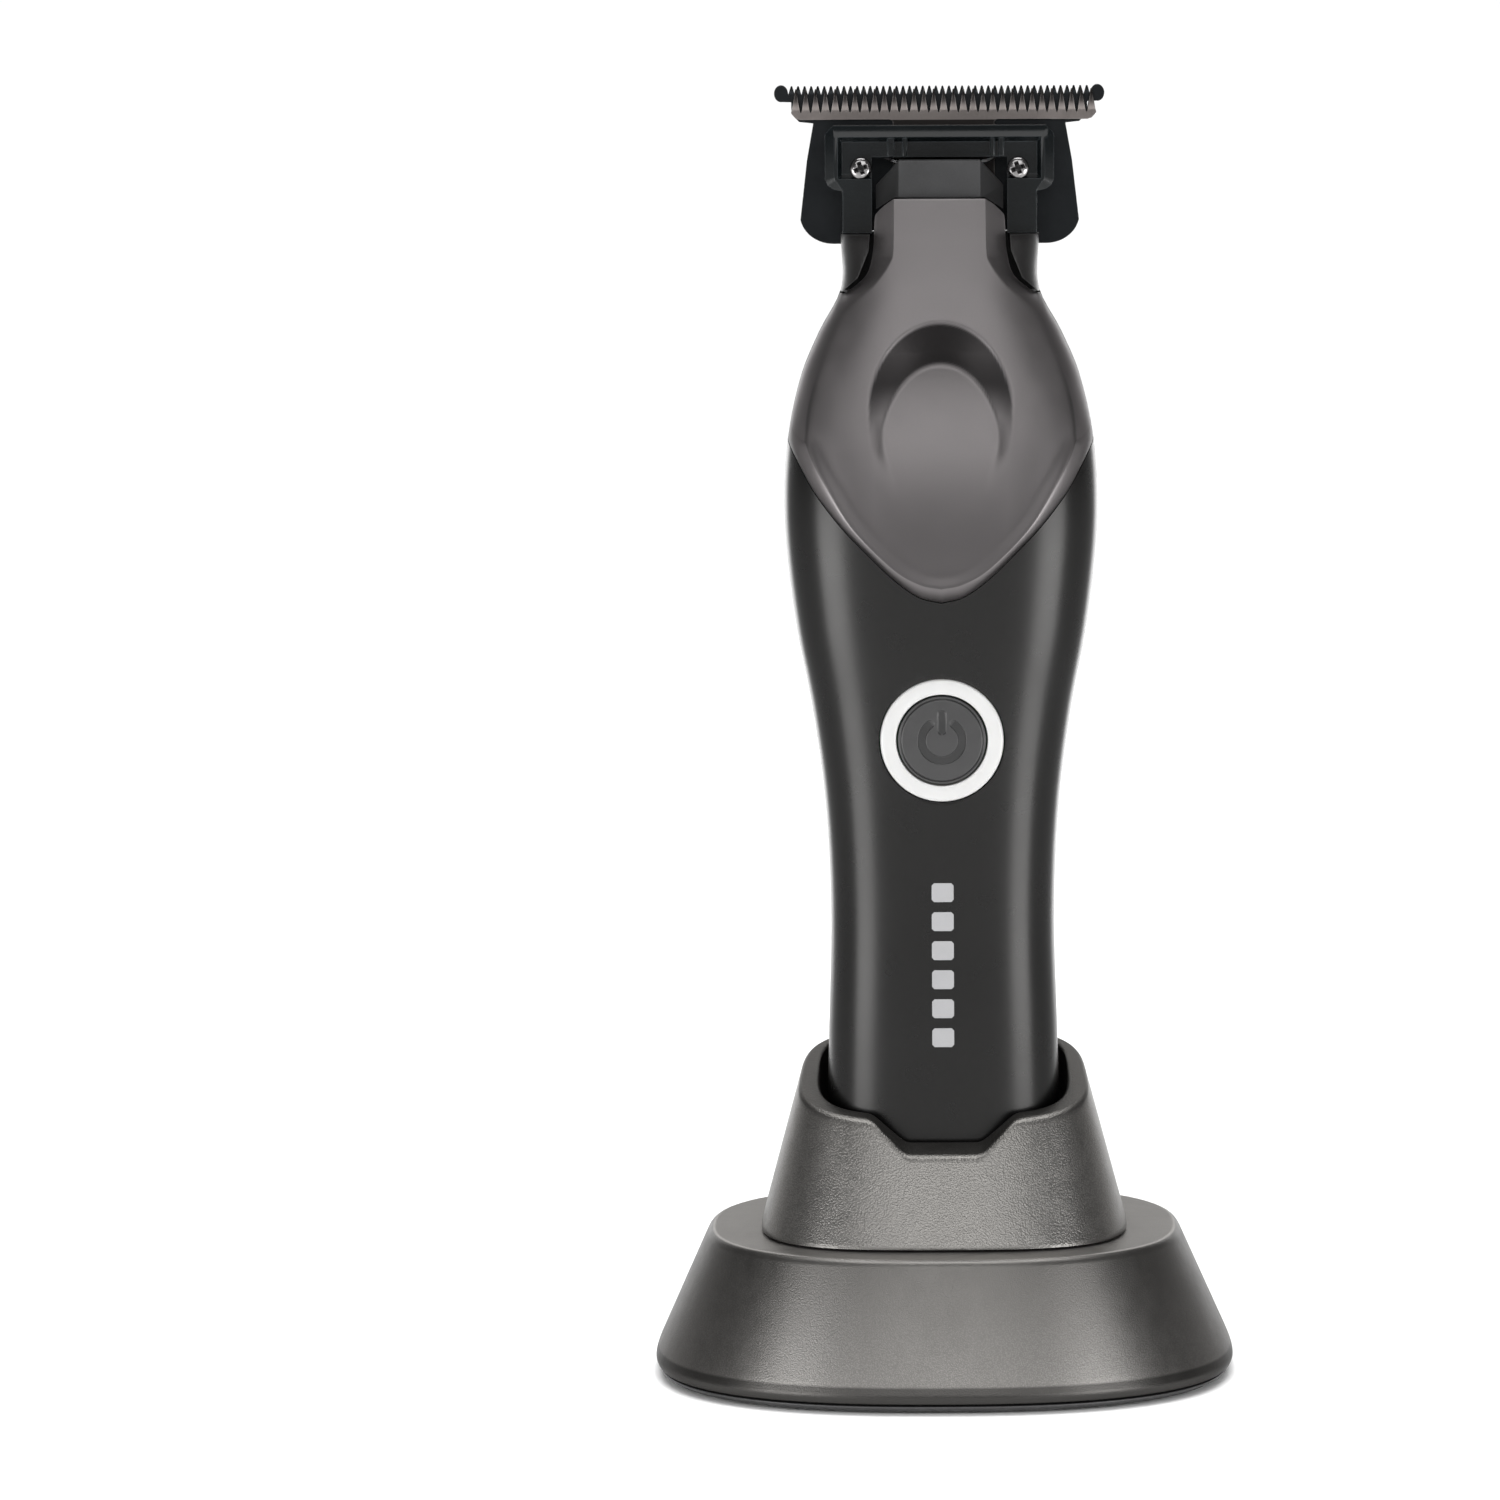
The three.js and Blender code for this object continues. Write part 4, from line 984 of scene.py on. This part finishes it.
def nose_cap():
    """The faceted collar: a flat front between two flanks, over which its top and its foot fall away."""

    def facets(name, width, front, edge, back, low, high):
        half = [(width * 0.64, -front), (width, -edge), (width, back)]
        return extruded(name, half + mirrored(half), low, high, plane="xy")

    obj = facets("nose_cap_shell", 8.65, 9.3, 5.4, -4.9, 159.6, 167.6)
    foot = [(6.1, COVER_TOP + 0.2), (9.1, 160.6), (30, 160.0), (30, 140)]
    combine(obj, extruded("foot", foot + mirrored(foot), -30, 30))
    top = [(5.5, 167.6), (5.5, 175), (12, 175), (12, 160.0), (8.9, 163.9)]
    for side in (-1, 1):
        combine(obj, extruded("top", [(side * x, z) for x, z in top], -30, 30))
    combine(obj, facets("skirt", 6.6, 8.9, 6.6, -5.1, 157.8, 165), "UNION")
    combine(obj, facets("hollow", 5.8, 8.0, 5.8, 0, 150, 166.2))
    soften(obj, 0.22, 2, 24)
    # Painted shade: the flanks are darker than the front.
    return marked(obj, "flank", lambda p: (np.abs(p[:, 0]) - 5.45) / 0.2)


def blade_bracket():
    """The frame across the blade: two legs, a sunk tray with small ribs, and a hole for each screw."""
    outer = [(14.5, 172.2), (15.6, 171.1), (15.6, 164.9), (15.25, 164.1), (14.5, 163.55)]
    outer += [(13.4, 163.3), (13.4, 157.6)]
    inner = [(13.95, 170.8), (14.35, 170.4), (14.35, 165.3), (14.2, 164.8), (13.9, 164.5)]
    inner += [(13.2, 163.4), (13.2, 157.6)]
    layers = ((-4.5, inner), (-3.75, outer), (4.1, outer))
    rings = [[(x, y, z) for x, z in half + mirrored(half)] for y, half in layers]
    obj = tube_of("blade_bracket_frame", rings)
    combine(obj, block((-9.2, 9.2), (-10, 10), (150, 167.9)))
    combine(obj, block((-9.2, 9.2), (3.0, 10), (150, 180)))
    combine(obj, block((-20, 20), (3.0, 10), (171.4, 180)))
    tray = []
    layers = ((-5.0, 13.9, 164.9, 170.7), (-4.4, 13.8, 165.0, 170.6), (-3.5, 13.3, 165.6, 170.0))
    for y, x, low, high in layers:
        tray.append([(x, y, low), (x, y, high), (-x, y, high), (-x, y, low)])
    combine(obj, tube_of("tray", tray))
    soften(drilled_for_screws(obj), 0.25, 3, 30)
    ribs = []
    for x, width in ((-6.6, 0.9), (-4.7, 0.55), (7.2, 0.55), (8.4, 0.7)):
        rib = block((x - width / 2, x + width / 2), (-4.3, -3.4), (168.0, 170.9))
        ribs.append(soften(rib, 0.12, 2))
    return join(obj, *ribs)


def toothed_plate(name, teeth, rest, front, back, tip_front, tip_back, centre=0.0, flank=1.0):
    """A plate with a row of ground teeth on top, thinner at their tips, and the rest of its edge clockwise.

    teeth gives their count, pitch and width at the tip, and the heights of their roots and tips.
    """
    count, pitch, tip, root_z, tip_z = teeth
    left = centre - count * pitch / 2
    outline = [(left + i * pitch, root_z) for i in range(count + 1)] + rest
    n = len(outline)
    verts = [(x, front, z) for x, z in outline] + [(x, back, z) for x, z in outline]
    faces = [tuple(range(n)), tuple(range(n, 2 * n))]
    faces += [(i, (i + 1) % n, n + (i + 1) % n, n + i) for i in range(count, n)]
    for i in range(count):
        x = left + (i + 0.5) * pitch
        base = len(verts)
        for share in (0.12, 0.4, 1.0):
            z = root_z + (tip_z - root_z) * share
            half = pitch / 2 + (tip / 2 - pitch / 2) * share
            ground = max(0.0, share - 0.2) / 0.8
            near, far = front + (tip_front - front) * ground, back + (tip_back - back) * ground
            face = half * (flank if share < 1 else 0.5 + 0.5 * flank)
            verts += [(x - face, near, z), (x + face, near, z), (x + half, far, z), (x - half, far, z)]
        low = [i, i + 1, n + i + 1, n + i]
        mid, high, top = ([base + k + j for j in range(4)] for k in (0, 4, 8))
        for a, b in ((low, mid), (mid, high), (high, top)):
            faces += [(a[j], a[(j + 1) % 4], b[(j + 1) % 4], b[j]) for j in range(4)]
        faces.append(tuple(top))
    return new_object(name, verts, faces, closed=True)


def fixed_blade():
    """The T-blade: 46 teeth between two hooks, and a wing on each side."""
    right = arc(21.7, 176.38, 0.95, 1.15, 170, -100, 20)
    right += [(20.3, 175.2), (20.3, 174.0), (19.9, 173.2), (19.2, 172.5), (17.3, 172.3), (18.2, 167.2)]
    right += arc(14.6, 159.8, 4.6, 4.0, 350, 270, 16)
    right += [(12.7, 155.8), (12.7, NECK_TOP + 0.1)]
    teeth = (46, 0.9, 0.20, 176.2, 177.4)
    obj = toothed_plate("fixed_blade_plate", teeth, right + mirrored(right), 4.2, 5.6, 4.45, 5.0)
    return soften(drilled_for_screws(obj), 0.05, 1, 40)


def cutter_blade():
    """The moving blade: 31 teeth over a strip, and a stem down to the yoke."""
    half = [(20.75, 173.5), (20.3, 173.0), (19.7, 172.8), (7.3, 172.8), (7.0, 172.5), (7.0, 159.2)]
    rest = [(CUTTER_X + x, z) for x, z in half + mirrored(half)]
    teeth = (31, 1.35, 0.20, TOOTH_ROOT, 177.0)
    obj = toothed_plate("cutter_blade_plate", teeth, rest, 3.3, 4.1, 3.9, 4.1, CUTTER_X, flank=0.9)
    soften(obj, 0.05, 1, 40)
    level(obj, 172.76, 173.6, 174.1, 174.5, 174.9, 175.3, 175.7)
    return marked(obj, "shade", lambda p: smoothstep((p[:, 2] - 174.3) / 1.3) + (p[:, 2] < 172.77))


place(neck(), "trimmer", "neck", "neck", "neck")
place(nose_cap(), "trimmer", "nose", "nose", "nose_cap")
place(blade_bracket(), "trimmer", "gloss", "bracket", "blade_bracket")
place(fixed_blade(), "trimmer", "blade_black", "fixed_blade", "fixed_blade")
place(cutter_blade(), "cutter", "blade_grey", "cutter_blade", "cutter_blade")

# ---------------- trimmer: button, ring and sockets

BUTTON_R = 6.0
GROOVE_R = 5.62
SYMBOL_R = 2.75  # the ring of the power symbol
SYMBOL_OPENING = math.radians(36)  # half the angle of the ring's opening
BAR_LOW, BAR_HIGH = 1.3, 3.6
STROKE = 0.5  # half the width of the symbol's lines
RING_IN, RING_OUT = 6.25, 8.4


def power_button():
    """The button's cap as a polar relief, with a groove near its rim and a sunk power symbol."""
    radii = np.concatenate([np.linspace(0.02, 4.4, 62), np.linspace(4.5, BUTTON_R, 17)])
    angles = np.linspace(0, 2 * math.pi, 200, endpoint=False)
    r, a = np.meshgrid(radii, angles, indexing="ij")
    x, up = r * np.cos(a), r * np.sin(a)
    to_ring = np.maximum(np.abs(r - SYMBOL_R) - STROKE, 0)
    end_x, end_up = SYMBOL_R * math.sin(SYMBOL_OPENING), SYMBOL_R * math.cos(SYMBOL_OPENING)
    to_end = np.hypot(np.abs(x) - end_x, up - end_up) - STROKE
    to_ring = np.where(np.abs(np.arctan2(x, up)) > SYMBOL_OPENING, to_ring, to_end)
    to_bar = np.hypot(x, up - np.clip(up, BAR_LOW, BAR_HIGH)) - STROKE
    symbol = smoothstep(1 - np.minimum(to_ring, to_bar) / 0.09)
    groove = smoothstep(1 - np.abs(r - GROOVE_R) / 0.16)
    edge = smoothstep((r - 5.85) / 0.25)
    dome = 0.10 * (r / 6.1) ** 2
    depth = 0.05 + dome + 0.17 * symbol + 0.13 * groove + 0.12 * edge
    rings = [np.stack([x[i], up[i], -depth[i]], axis=-1) for i in range(len(radii))]
    for radius, z in ((BUTTON_R, -0.45), (BUTTON_R, -1.9), (1.8, -1.9), (1.8, -2.65)):
        round_x, round_y = radius * np.cos(angles), radius * np.sin(angles)
        rings.append(np.stack([round_x, round_y, np.full(len(angles), z)], axis=-1))
    obj = tube_of("power_button_cap", rings)

    # Painted shade in the sunk symbol and in the groove near the rim.
    def sunk(p):
        radius, turn = np.hypot(p[:, 0], p[:, 1]), np.arctan2(p[:, 0], p[:, 1])
        half = STROKE + 0.02
        on_ring = (np.abs(radius - SYMBOL_R) < half) & (np.abs(turn) > math.radians(34))
        on_bar = (np.abs(p[:, 0]) < half) & (p[:, 1] > 0.85) & (p[:, 1] < 4.1)
        return 1.0 * ((p[:, 2] > -0.5) & (on_ring | on_bar | (np.abs(radius - GROOVE_R) < 0.1)))

    marked(obj, "symbol", sunk)
    return shaded(transform(obj, (0, BUTTON_FACE, BUTTON_Z), turn_x=90), 60)


def light_ring():
    """The lens round the button, with rounded edges and a foot."""
    inner_r, outer_r = 0.28, 0.4
    profile = [(RING_IN, -2.85), *arc(RING_IN + inner_r, -inner_r, -inner_r, inner_r, 0, 90)]
    profile += [(7.2, 0.03), (7.8, 0.02)]
    profile += arc(RING_OUT - outer_r, -outer_r, outer_r, outer_r, 90, 0, 6)
    profile += [(RING_OUT, -2.85), (7.7, -4.05), (6.9, -4.05), (RING_IN, -2.85)]
    lens = lathe("light_ring_lens", profile, 128)
    return shaded(transform(lens, (0, BUTTON_FACE, BUTTON_Z), turn_x=90), 40)


def stadium(w, h, z):
    right = [(x, y, z) for x, y in arc(w - h, 0, h, h, -90, 90, 9)]
    return np.array(right + [(-x, -y, z) for x, y, z in right])


def charging_socket(name, low, high):
    """A pressed shell with its mouth at the bottom, round a tongue with six contact strips on each face."""
    half_w, half_h = 4.45, 1.6
    profile = [(0, high), (0, low + 0.1), (0.07, low), (0.23, low), (0.3, low + 0.1), (0.3, high - 0.6)]
    rings = [stadium(half_w - inset, half_h - inset, z) for inset, z in profile]
    obj = soften(tube_of(name, rings), 0)
    tongue = soften(block((-3.3, 3.3), (-0.35, 0.35), (low + 0.7, high - 0.35)), 0.1)
    strips = []
    for x in np.linspace(-2.5, 2.5, 6):
        for side in (-1, 1):
            depths = sorted((side * 0.3, side * 0.39))
            strips.append(block((x - 0.22, x + 0.22), depths, (low + 0.95, high - 0.6)))
    return join(obj, tongue, *strips)


def contact_stud(name, x):
    profile = [(0, BOTTOM_Z + 0.02), *arc(0, BOTTOM_Z + 0.3, 1.5, -0.3, 90 - math.degrees(0.9), 0, 4)]
    profile += [(1.5, 18.2), (0.8, 18.2), (0.8, 19.1), (0, 19.1)]
    return transform(soften(lathe(name, profile, 40), 0), (x, 0, 0))


place(power_button(), "power_button", "button", "button", "power_button")
place(light_ring(), "trimmer", "ring", "ring", "light_ring")
place(charging_socket("charging_port_shell", 15.2, 19.1), "trimmer", "steel", "connector", "charging_port")
for side, x in (("left", -CONTACT_X), ("right", CONTACT_X)):
    stud = contact_stud(f"charge_contact_{side}_stud", x)
    place(stud, "trimmer", "gold", "contacts", f"charge_contact_{side}")

# ---------------- dock

PLATFORM = 20.2
TOWER_FOOT = PLATFORM + GAP
TOWER_W, TOWER_FRONT, TOWER_BACK = 25.4, 24.0, 21.2  # where the tower's walls would meet the platform
BASE_N, TOWER_N, SOCKET_N = 2.5, 3.2, 3.5
DRAFT, FRONT_DRAFT = 0.267, 0.465
RIM_Z = 41.45
RIM_SLOPE = math.tan(math.radians(15.5))
NOTCH_TOP, NOTCH_FLOOR, NOTCH_DEPTH = 9.8, 5.2, 3.8  # half widths, and the depth
SOCKET_W, SOCKET_D, SOCKET_FLOOR = 17.1, 13.7, 14.3
INLET_Y, INLET_Z = 32.6, 7.3
DOCK_FEET = [(24, 22), (-24, 22), (24, -22), (-24, -22)]
BASE_ANGLES = even_angles(44, 36, 32, BASE_N)
TOWER_ANGLES = even_angles(60, 22, 18.5, TOWER_N)


def base_ring(w, d, z, n=BASE_N):
    return ellipse_ring(w, d, d, n, z, BASE_ANGLES)


def rounded(points, radius_at):
    """A profile's corners rounded: radius_at gives a radius for the index of each corner to round."""
    out = []
    for i, p in enumerate(points):
        if i not in radius_at:
            out.append(p)
            continue
        p = np.array(p, float)
        before, after = np.array(points[i - 1], float), np.array(points[(i + 1) % len(points)], float)
        a = p + (before - p) / np.linalg.norm(before - p) * radius_at[i]
        b = p + (after - p) / np.linalg.norm(after - p) * radius_at[i]
        for t in np.linspace(0, 1, 6):
            out.append(tuple((1 - t) ** 2 * a + 2 * t * (1 - t) * p + t * t * b))
    return out


def dock_base():
    """The wide foot as one closed sweep: up its wall, over the platform, and down the tower's hole."""
    outer = [(31.0, 27.7, PLATFORM - 2.4), (37.2, 32.6, 1.5), (39.75, 35.05, 1.5), (40.12, 35.44, 2.4)]
    outer += [(39.7, 35.0, 3.8), (32.4, 29.5, PLATFORM), (28.0, 25.6, PLATFORM)]
    rings = [base_ring(*p) for p in rounded(outer, {2: 0.3, 3: 0.5, 4: 0.9, 5: 1.2})]
    hole = [(19.8, 16.5, PLATFORM), (19.5, 16.2, PLATFORM - 0.3), (19.4, 16.1, PLATFORM - 2.4)]
    rings += [base_ring(w, d, z, SOCKET_N) for w, d, z in hole]
    obj = tube_of("dock_base_shell", rings, loop=True)
    combine(obj, block((-4.8, 4.8), (25, 45), (5.4, 9.2)))
    soften(obj, 0.12, 2, 44)
    marked(obj, "lip", lambda p: 1.0 * (p[:, 2] < 3.75))
    # Painted shade just under the platform's level: on the rounded outer edge and at the top of the tower's
    # hole.
    marked(obj, "brim_painted_shade", lambda p: 1.0 * (np.abs(p[:, 2] - PLATFORM + 0.6) < 0.55))
    # Painted light: the platform's top is lighter.
    return marked(obj, "platform", lambda p: (p[:, 2] - PLATFORM + 0.15) / 0.1)


def rim_height(x, y):
    """The tower's rim: a plane that rises to the back, with a trapezoid notch in its front."""
    x = np.abs(x)
    across = np.clip((NOTCH_TOP - x) / (NOTCH_TOP - NOTCH_FLOOR), 0, 1)
    # The notch's corners are eased a little.
    for corner_x, ease in ((NOTCH_TOP, 0.03), (NOTCH_FLOOR, -0.03)):
        across = across + ease * np.exp(-(((x - corner_x) / 0.35) ** 2))
    notch = NOTCH_DEPTH * np.clip(across, 0, 1) * (y < -6)
    return RIM_Z + RIM_SLOPE * y - notch


def dock_tower():
    """One sweep round the tower: under the cup, up the outside, over the rim, and down into the well."""
    outer_r, inner_r, floor_r = 0.55, 0.45, 0.6

    def wall(height_of, inset=0.0):
        """A ring of the outer wall. Its height depends on its own x and y, so it is found in steps."""
        z = 36.0
        for _ in range(12):
            rise = z - PLATFORM
            taper = rise * DRAFT + inset
            front = TOWER_FRONT - rise * FRONT_DRAFT - inset
            ring = ellipse_ring(TOWER_W - taper, front, TOWER_BACK - taper, TOWER_N, z, TOWER_ANGLES)
            z = height_of(ring[:, 0], ring[:, 1])
        ring[:, 2] = z
        return ring

    def cup(w, d, z):
        return ellipse_ring(w, d, d, SOCKET_N, z, TOWER_ANGLES)

    def well(grow, height_of):
        ring = cup(SOCKET_W + grow, SOCKET_D + grow, 0)
        ring[:, 2] = height_of(rim_height(ring[:, 0], ring[:, 1]))
        return ring

    rings = [cup(18.6, 15.2, 12.6), cup(19.1, 15.7, 13.0), cup(19.1, 15.7, TOWER_FOOT)]
    for rise, inset in ((0, 0.25), (0.08, 0.07), (0.25, 0)):
        rings.append(wall(lambda x, y: TOWER_FOOT + rise, inset))
    low = TOWER_FOOT + 0.25
    for t in np.linspace(0.03, 1, 34):
        rings.append(wall(lambda x, y: low + (rim_height(x, y) - outer_r - low) * t))
    for inset, rise in arc(outer_r, -outer_r, -outer_r, outer_r, math.degrees(0.3), 90, 4):
        rings.append(wall(lambda x, y: rim_height(x, y) + rise, inset))
    for grow, rise in arc(inner_r, -inner_r, -inner_r, inner_r, 90, 0, 4):
        rings.append(well(grow, lambda rim: rim + rise))
    foot = SOCKET_FLOOR + floor_r
    for t in np.linspace(0.06, 1, 16):
        rings.append(well(0, lambda rim: (rim - inner_r) * (1 - t) + foot * t))
    for shrink, z in arc(floor_r, foot, -floor_r, -floor_r, math.degrees(0.4), 90, 3):
        rings.append(cup(SOCKET_W - shrink, SOCKET_D - shrink, z))
    obj = tube_of("dock_tower_shell", rings)
    for x in (CONTACT_X, -CONTACT_X):
        drill(obj, 1.3, 0, 6, (x, 0, 10))
    combine(obj, block((-5, 5), (-1.4, 1.4), (10, 16)))
    shaded(obj, 48)

    # Painted shade on the rim's top and at the foot, where the tower meets the platform.
    def rim_and_foot_painted_shade(p):
        above = (p[:, 2] - rim_height(p[:, 0], p[:, 1]) + 0.6) / 0.1
        return np.maximum(above, (TOWER_FOOT + 0.4 - p[:, 2]) / 0.15)

    return marked(obj, "rim", rim_and_foot_painted_shade)


def dock_bottom():
    """The cover under the dock, with a raised rim and sunk seats for its screws and feet."""
    profile = [(36.8, 32.7, 0.4), (38.6, 34.0, 0.4), (39.4, 34.8, 0.9), (39.4, 34.8, 1.2), (36.4, 32.3, 1.2)]
    profile += [(36.4, 32.3, 2.2), (35.0, 30.9, 2.2), (35.0, 30.9, 1.7)]
    obj = tube_of("dock_bottom_cover", [base_ring(*p) for p in profile])
    under = -0.9
    for x, y in DOCK_SCREWS:
        drill(obj, 2.3, 0, 2, (x, y, under))
        drill(obj, 1.15, 0, 4, (x, y, under), segments=24)
    for x, y in DOCK_FEET:
        drill(obj, 4.5, 0, 2, (x, y, under), segments=48)
    return soften(obj, 0.12, 2, 40)


def dock_foot(name, x, y):
    """A rubber foot, hollowed a little in its middle."""
    profile = [[0, 0.06], [2.6, 0.06], [2.9, 0.0], [3.9, 0.0], [4.15, 0.12], [4.2, 0.3], [4.2, 0.8], [0, 0.8]]
    return transform(shaded(lathe(name, profile, 56), 50), (x, y, 0))


def pin_spring(name, x):
    """A small coil spring of five turns, closed at both ends."""
    turns, steps, radius, wire = 5, 20, 0.75, 0.15
    share = np.linspace(0, 1, turns * steps + 1)
    around = 2 * math.pi * turns * share
    z = 7.22 + 0.3 * share + 2.66 * smoothstep((share - 0.12) / 0.76)
    path = np.stack([x + radius * np.cos(around), radius * np.sin(around), z], axis=-1)
    rings = []
    for i, p in enumerate(path):
        ahead = path[min(i + 1, len(path) - 1)] - path[max(i - 1, 0)]
        ahead /= np.linalg.norm(ahead)
        out = np.array([p[0] - x, p[1], 0]) / radius
        up = np.cross(ahead, out)
        section = np.linspace(0, 2 * math.pi, 10, endpoint=False)
        rings.append([p + wire * (math.cos(b) * out + math.sin(b) * up) for b in section])
    return soften(tube_of(name, rings), 0, angle=60)


def charging_pin(name, x):
    radius, tip_r, top = 1.05, 0.45, 14.5
    profile = [(0, 10.7), (0.95, 10.7), (radius, 10.8)]
    profile += arc(radius - tip_r, top - tip_r, tip_r, tip_r, 0, 90)
    profile.append((0, top))
    return soften(transform(lathe(name, profile, 40), (x, 0, 0)), 0)


place(dock_base(), "dock", "dock_base", "dock", "dock_base")
place(dock_tower(), "dock", "dock_tower", "dock", "dock_tower")
place(dock_bottom(), "dock", "dock_under", "dock_underside", "dock_bottom")
inlet = transform(charging_socket("dock_inlet_shell", 0, 8.6), (0, INLET_Y, INLET_Z), turn_x=90)
place(inlet, "dock", "steel", "connector", "dock_inlet")
for i, (x, y) in enumerate(DOCK_FEET):
    place(dock_foot(f"dock_foot_{i + 1}_pad", x, y), "dock", "rubber", "feet", f"dock_foot_{i + 1}")
for side, x in (("left", -CONTACT_X), ("right", CONTACT_X)):
    pin = charging_pin(f"dock_pin_{side}_plunger", x)
    place(pin, f"dock_pin_{side}", "gold", "contacts", f"dock_pin_{side}")
    spring = pin_spring(f"dock_pin_spring_{side}_wire", x)
    place(spring, "dock", "spring", "spring", f"dock_pin_spring_{side}")
    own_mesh(spring)

# ---------------- inner pieces that keep their CAD shape

INNER = {
    "cam": ["cutter_yoke", "eccentric_cam"],
    "spring": ["cutter_spring"],
    "steel": ["motor_can", "motor_shaft", "motor_screw_left", "motor_screw_right", "tact_switch"],
    "nickel": ["upper_bearing", "lower_bearing"],
    "magnet": ["rotor_magnet"],
    "copper": ["stator_coils"],
    "inner": ["motor_end_bell", "motor_mount", "inner_frame"],
    "cell": ["battery_cell"],
    "board": ["control_board", "charge_board", "dock_board"],
    "ballast": ["dock_ballast"],
    "gold": ["dock_pin_barrel_left", "dock_pin_barrel_right"],
}
for finish, names in INNER.items():
    for name in names:
        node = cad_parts[name]
        node.data.materials.clear()
        node.data.materials.append(FINISHES[finish])

# ---------------- floor, lights and camera


def floor():
    """A wide pale floor, just under the dock's feet."""
    radius, sides = 40000, 96
    angles = np.linspace(0, 2 * math.pi, sides, endpoint=False)
    verts = [(radius * math.cos(a), radius * math.sin(a), -0.02) for a in angles]
    obj = new_object("floor", verts, [tuple(range(sides))])
    n = Finish("pale_floor")
    n.set("Base Color", n.mix(n.ranged(n.noise(30, 3.0), 0.3, 0.7), grey(0.86), grey(0.88)))
    n.set("Roughness", 0.7)
    n.set("Specular IOR Level", 0.2)
    obj.data.materials.append(n.material)
    return obj


def room():
    """A dim room with a pale backdrop, brightest low down and behind. The camera sees it as white."""
    world = bpy.data.worlds.new("studio")
    world.use_nodes = True
    n = Graph(world.node_tree)
    direction = n.node("ShaderNodeTexCoord", {}).outputs["Generated"]
    split = n.node("ShaderNodeSeparateXYZ", {0: direction})
    horizon = n.ranged(split.outputs["Z"], 0.12, 0.34, 1.0, 0.0, smooth=True)
    behind = n.ranged(split.outputs["Y"], 0.2, 0.85, 0.16, 1.0, smooth=True)
    glow = n.math("MAXIMUM", n.math("MULTIPLY", horizon, behind), 0.13)
    seen = n.node("ShaderNodeLightPath", {}).outputs["Is Camera Ray"]
    background = world.node_tree.nodes["Background"]
    n.feed(background.inputs["Strength"], n.math("MAXIMUM", glow, seen))
    background.inputs["Color"].default_value = (1, 1, 1, 1)
    return world


def softbox(name, at, target, width, height, radiance):
    """A rectangular lamp, in metres, that the camera doesn't see."""
    lamp = bpy.data.lights.new(name, "AREA")
    lamp.shape = "RECTANGLE"
    lamp.size, lamp.size_y = width, height
    lamp.energy = radiance * math.pi * width * height
    obj = bpy.data.objects.new(name, lamp)
    obj.location = at
    obj.rotation_euler = (Vector(target) - Vector(at)).to_track_quat("-Z", "Y").to_euler()
    scene.collection.objects.link(obj)
    obj.visible_camera = False


def around(azimuth, distance, height):
    """A place at an azimuth from the front, in degrees towards +X."""
    a = math.radians(azimuth)
    return (distance * math.sin(a), -distance * math.cos(a), height)


def photographer():
    """A long lens from in front and a little above, turned by a quarter of a degree."""
    lens = bpy.data.cameras.new("camera")
    lens.lens, lens.sensor_width = 175.1, 36
    lens.shift_x = -0.128
    lens.clip_start, lens.clip_end = 0.05, 100
    camera = bpy.data.objects.new("camera", lens)
    camera.location = (0, -1.0, 0.2)
    level_view = (Vector((0, 0, 0.0862)) - camera.location).to_track_quat("-Z", "Y")
    roll = Quaternion((0, 0, 1), math.radians(-0.25))
    camera.rotation_euler = (level_view @ roll).to_euler()
    scene.collection.objects.link(camera)
    return camera


MIDDLE = (0, 0, 0.09)
ground = floor()
scene.world = room()
sun = bpy.data.lights.new("overhead", "SUN")
sun.energy, sun.angle = 3.45, math.radians(50)
overhead = bpy.data.objects.new("overhead", sun)
overhead.location = (0, 0, 2)
scene.collection.objects.link(overhead)
for side in (-1, 1):
    softbox("side_strip", around(side * 44, 0.30, 0.062), (0, 0, 0.062), 0.15, 0.12, 8.8)
    softbox("rear_strip", around(180 + side * 22, 0.45, 0.12), (0, 0, 0.10), 0.16, 0.24, 2.4)
softbox("front_box", (0, -0.80, 0.47), MIDDLE, 0.60, 0.46, 3.3)
softbox("rear_box", (0, 0.80, 0.60), MIDDLE, 0.9, 0.34, 1.6)
scene.camera = photographer()
scene.view_settings.view_transform = "Standard"
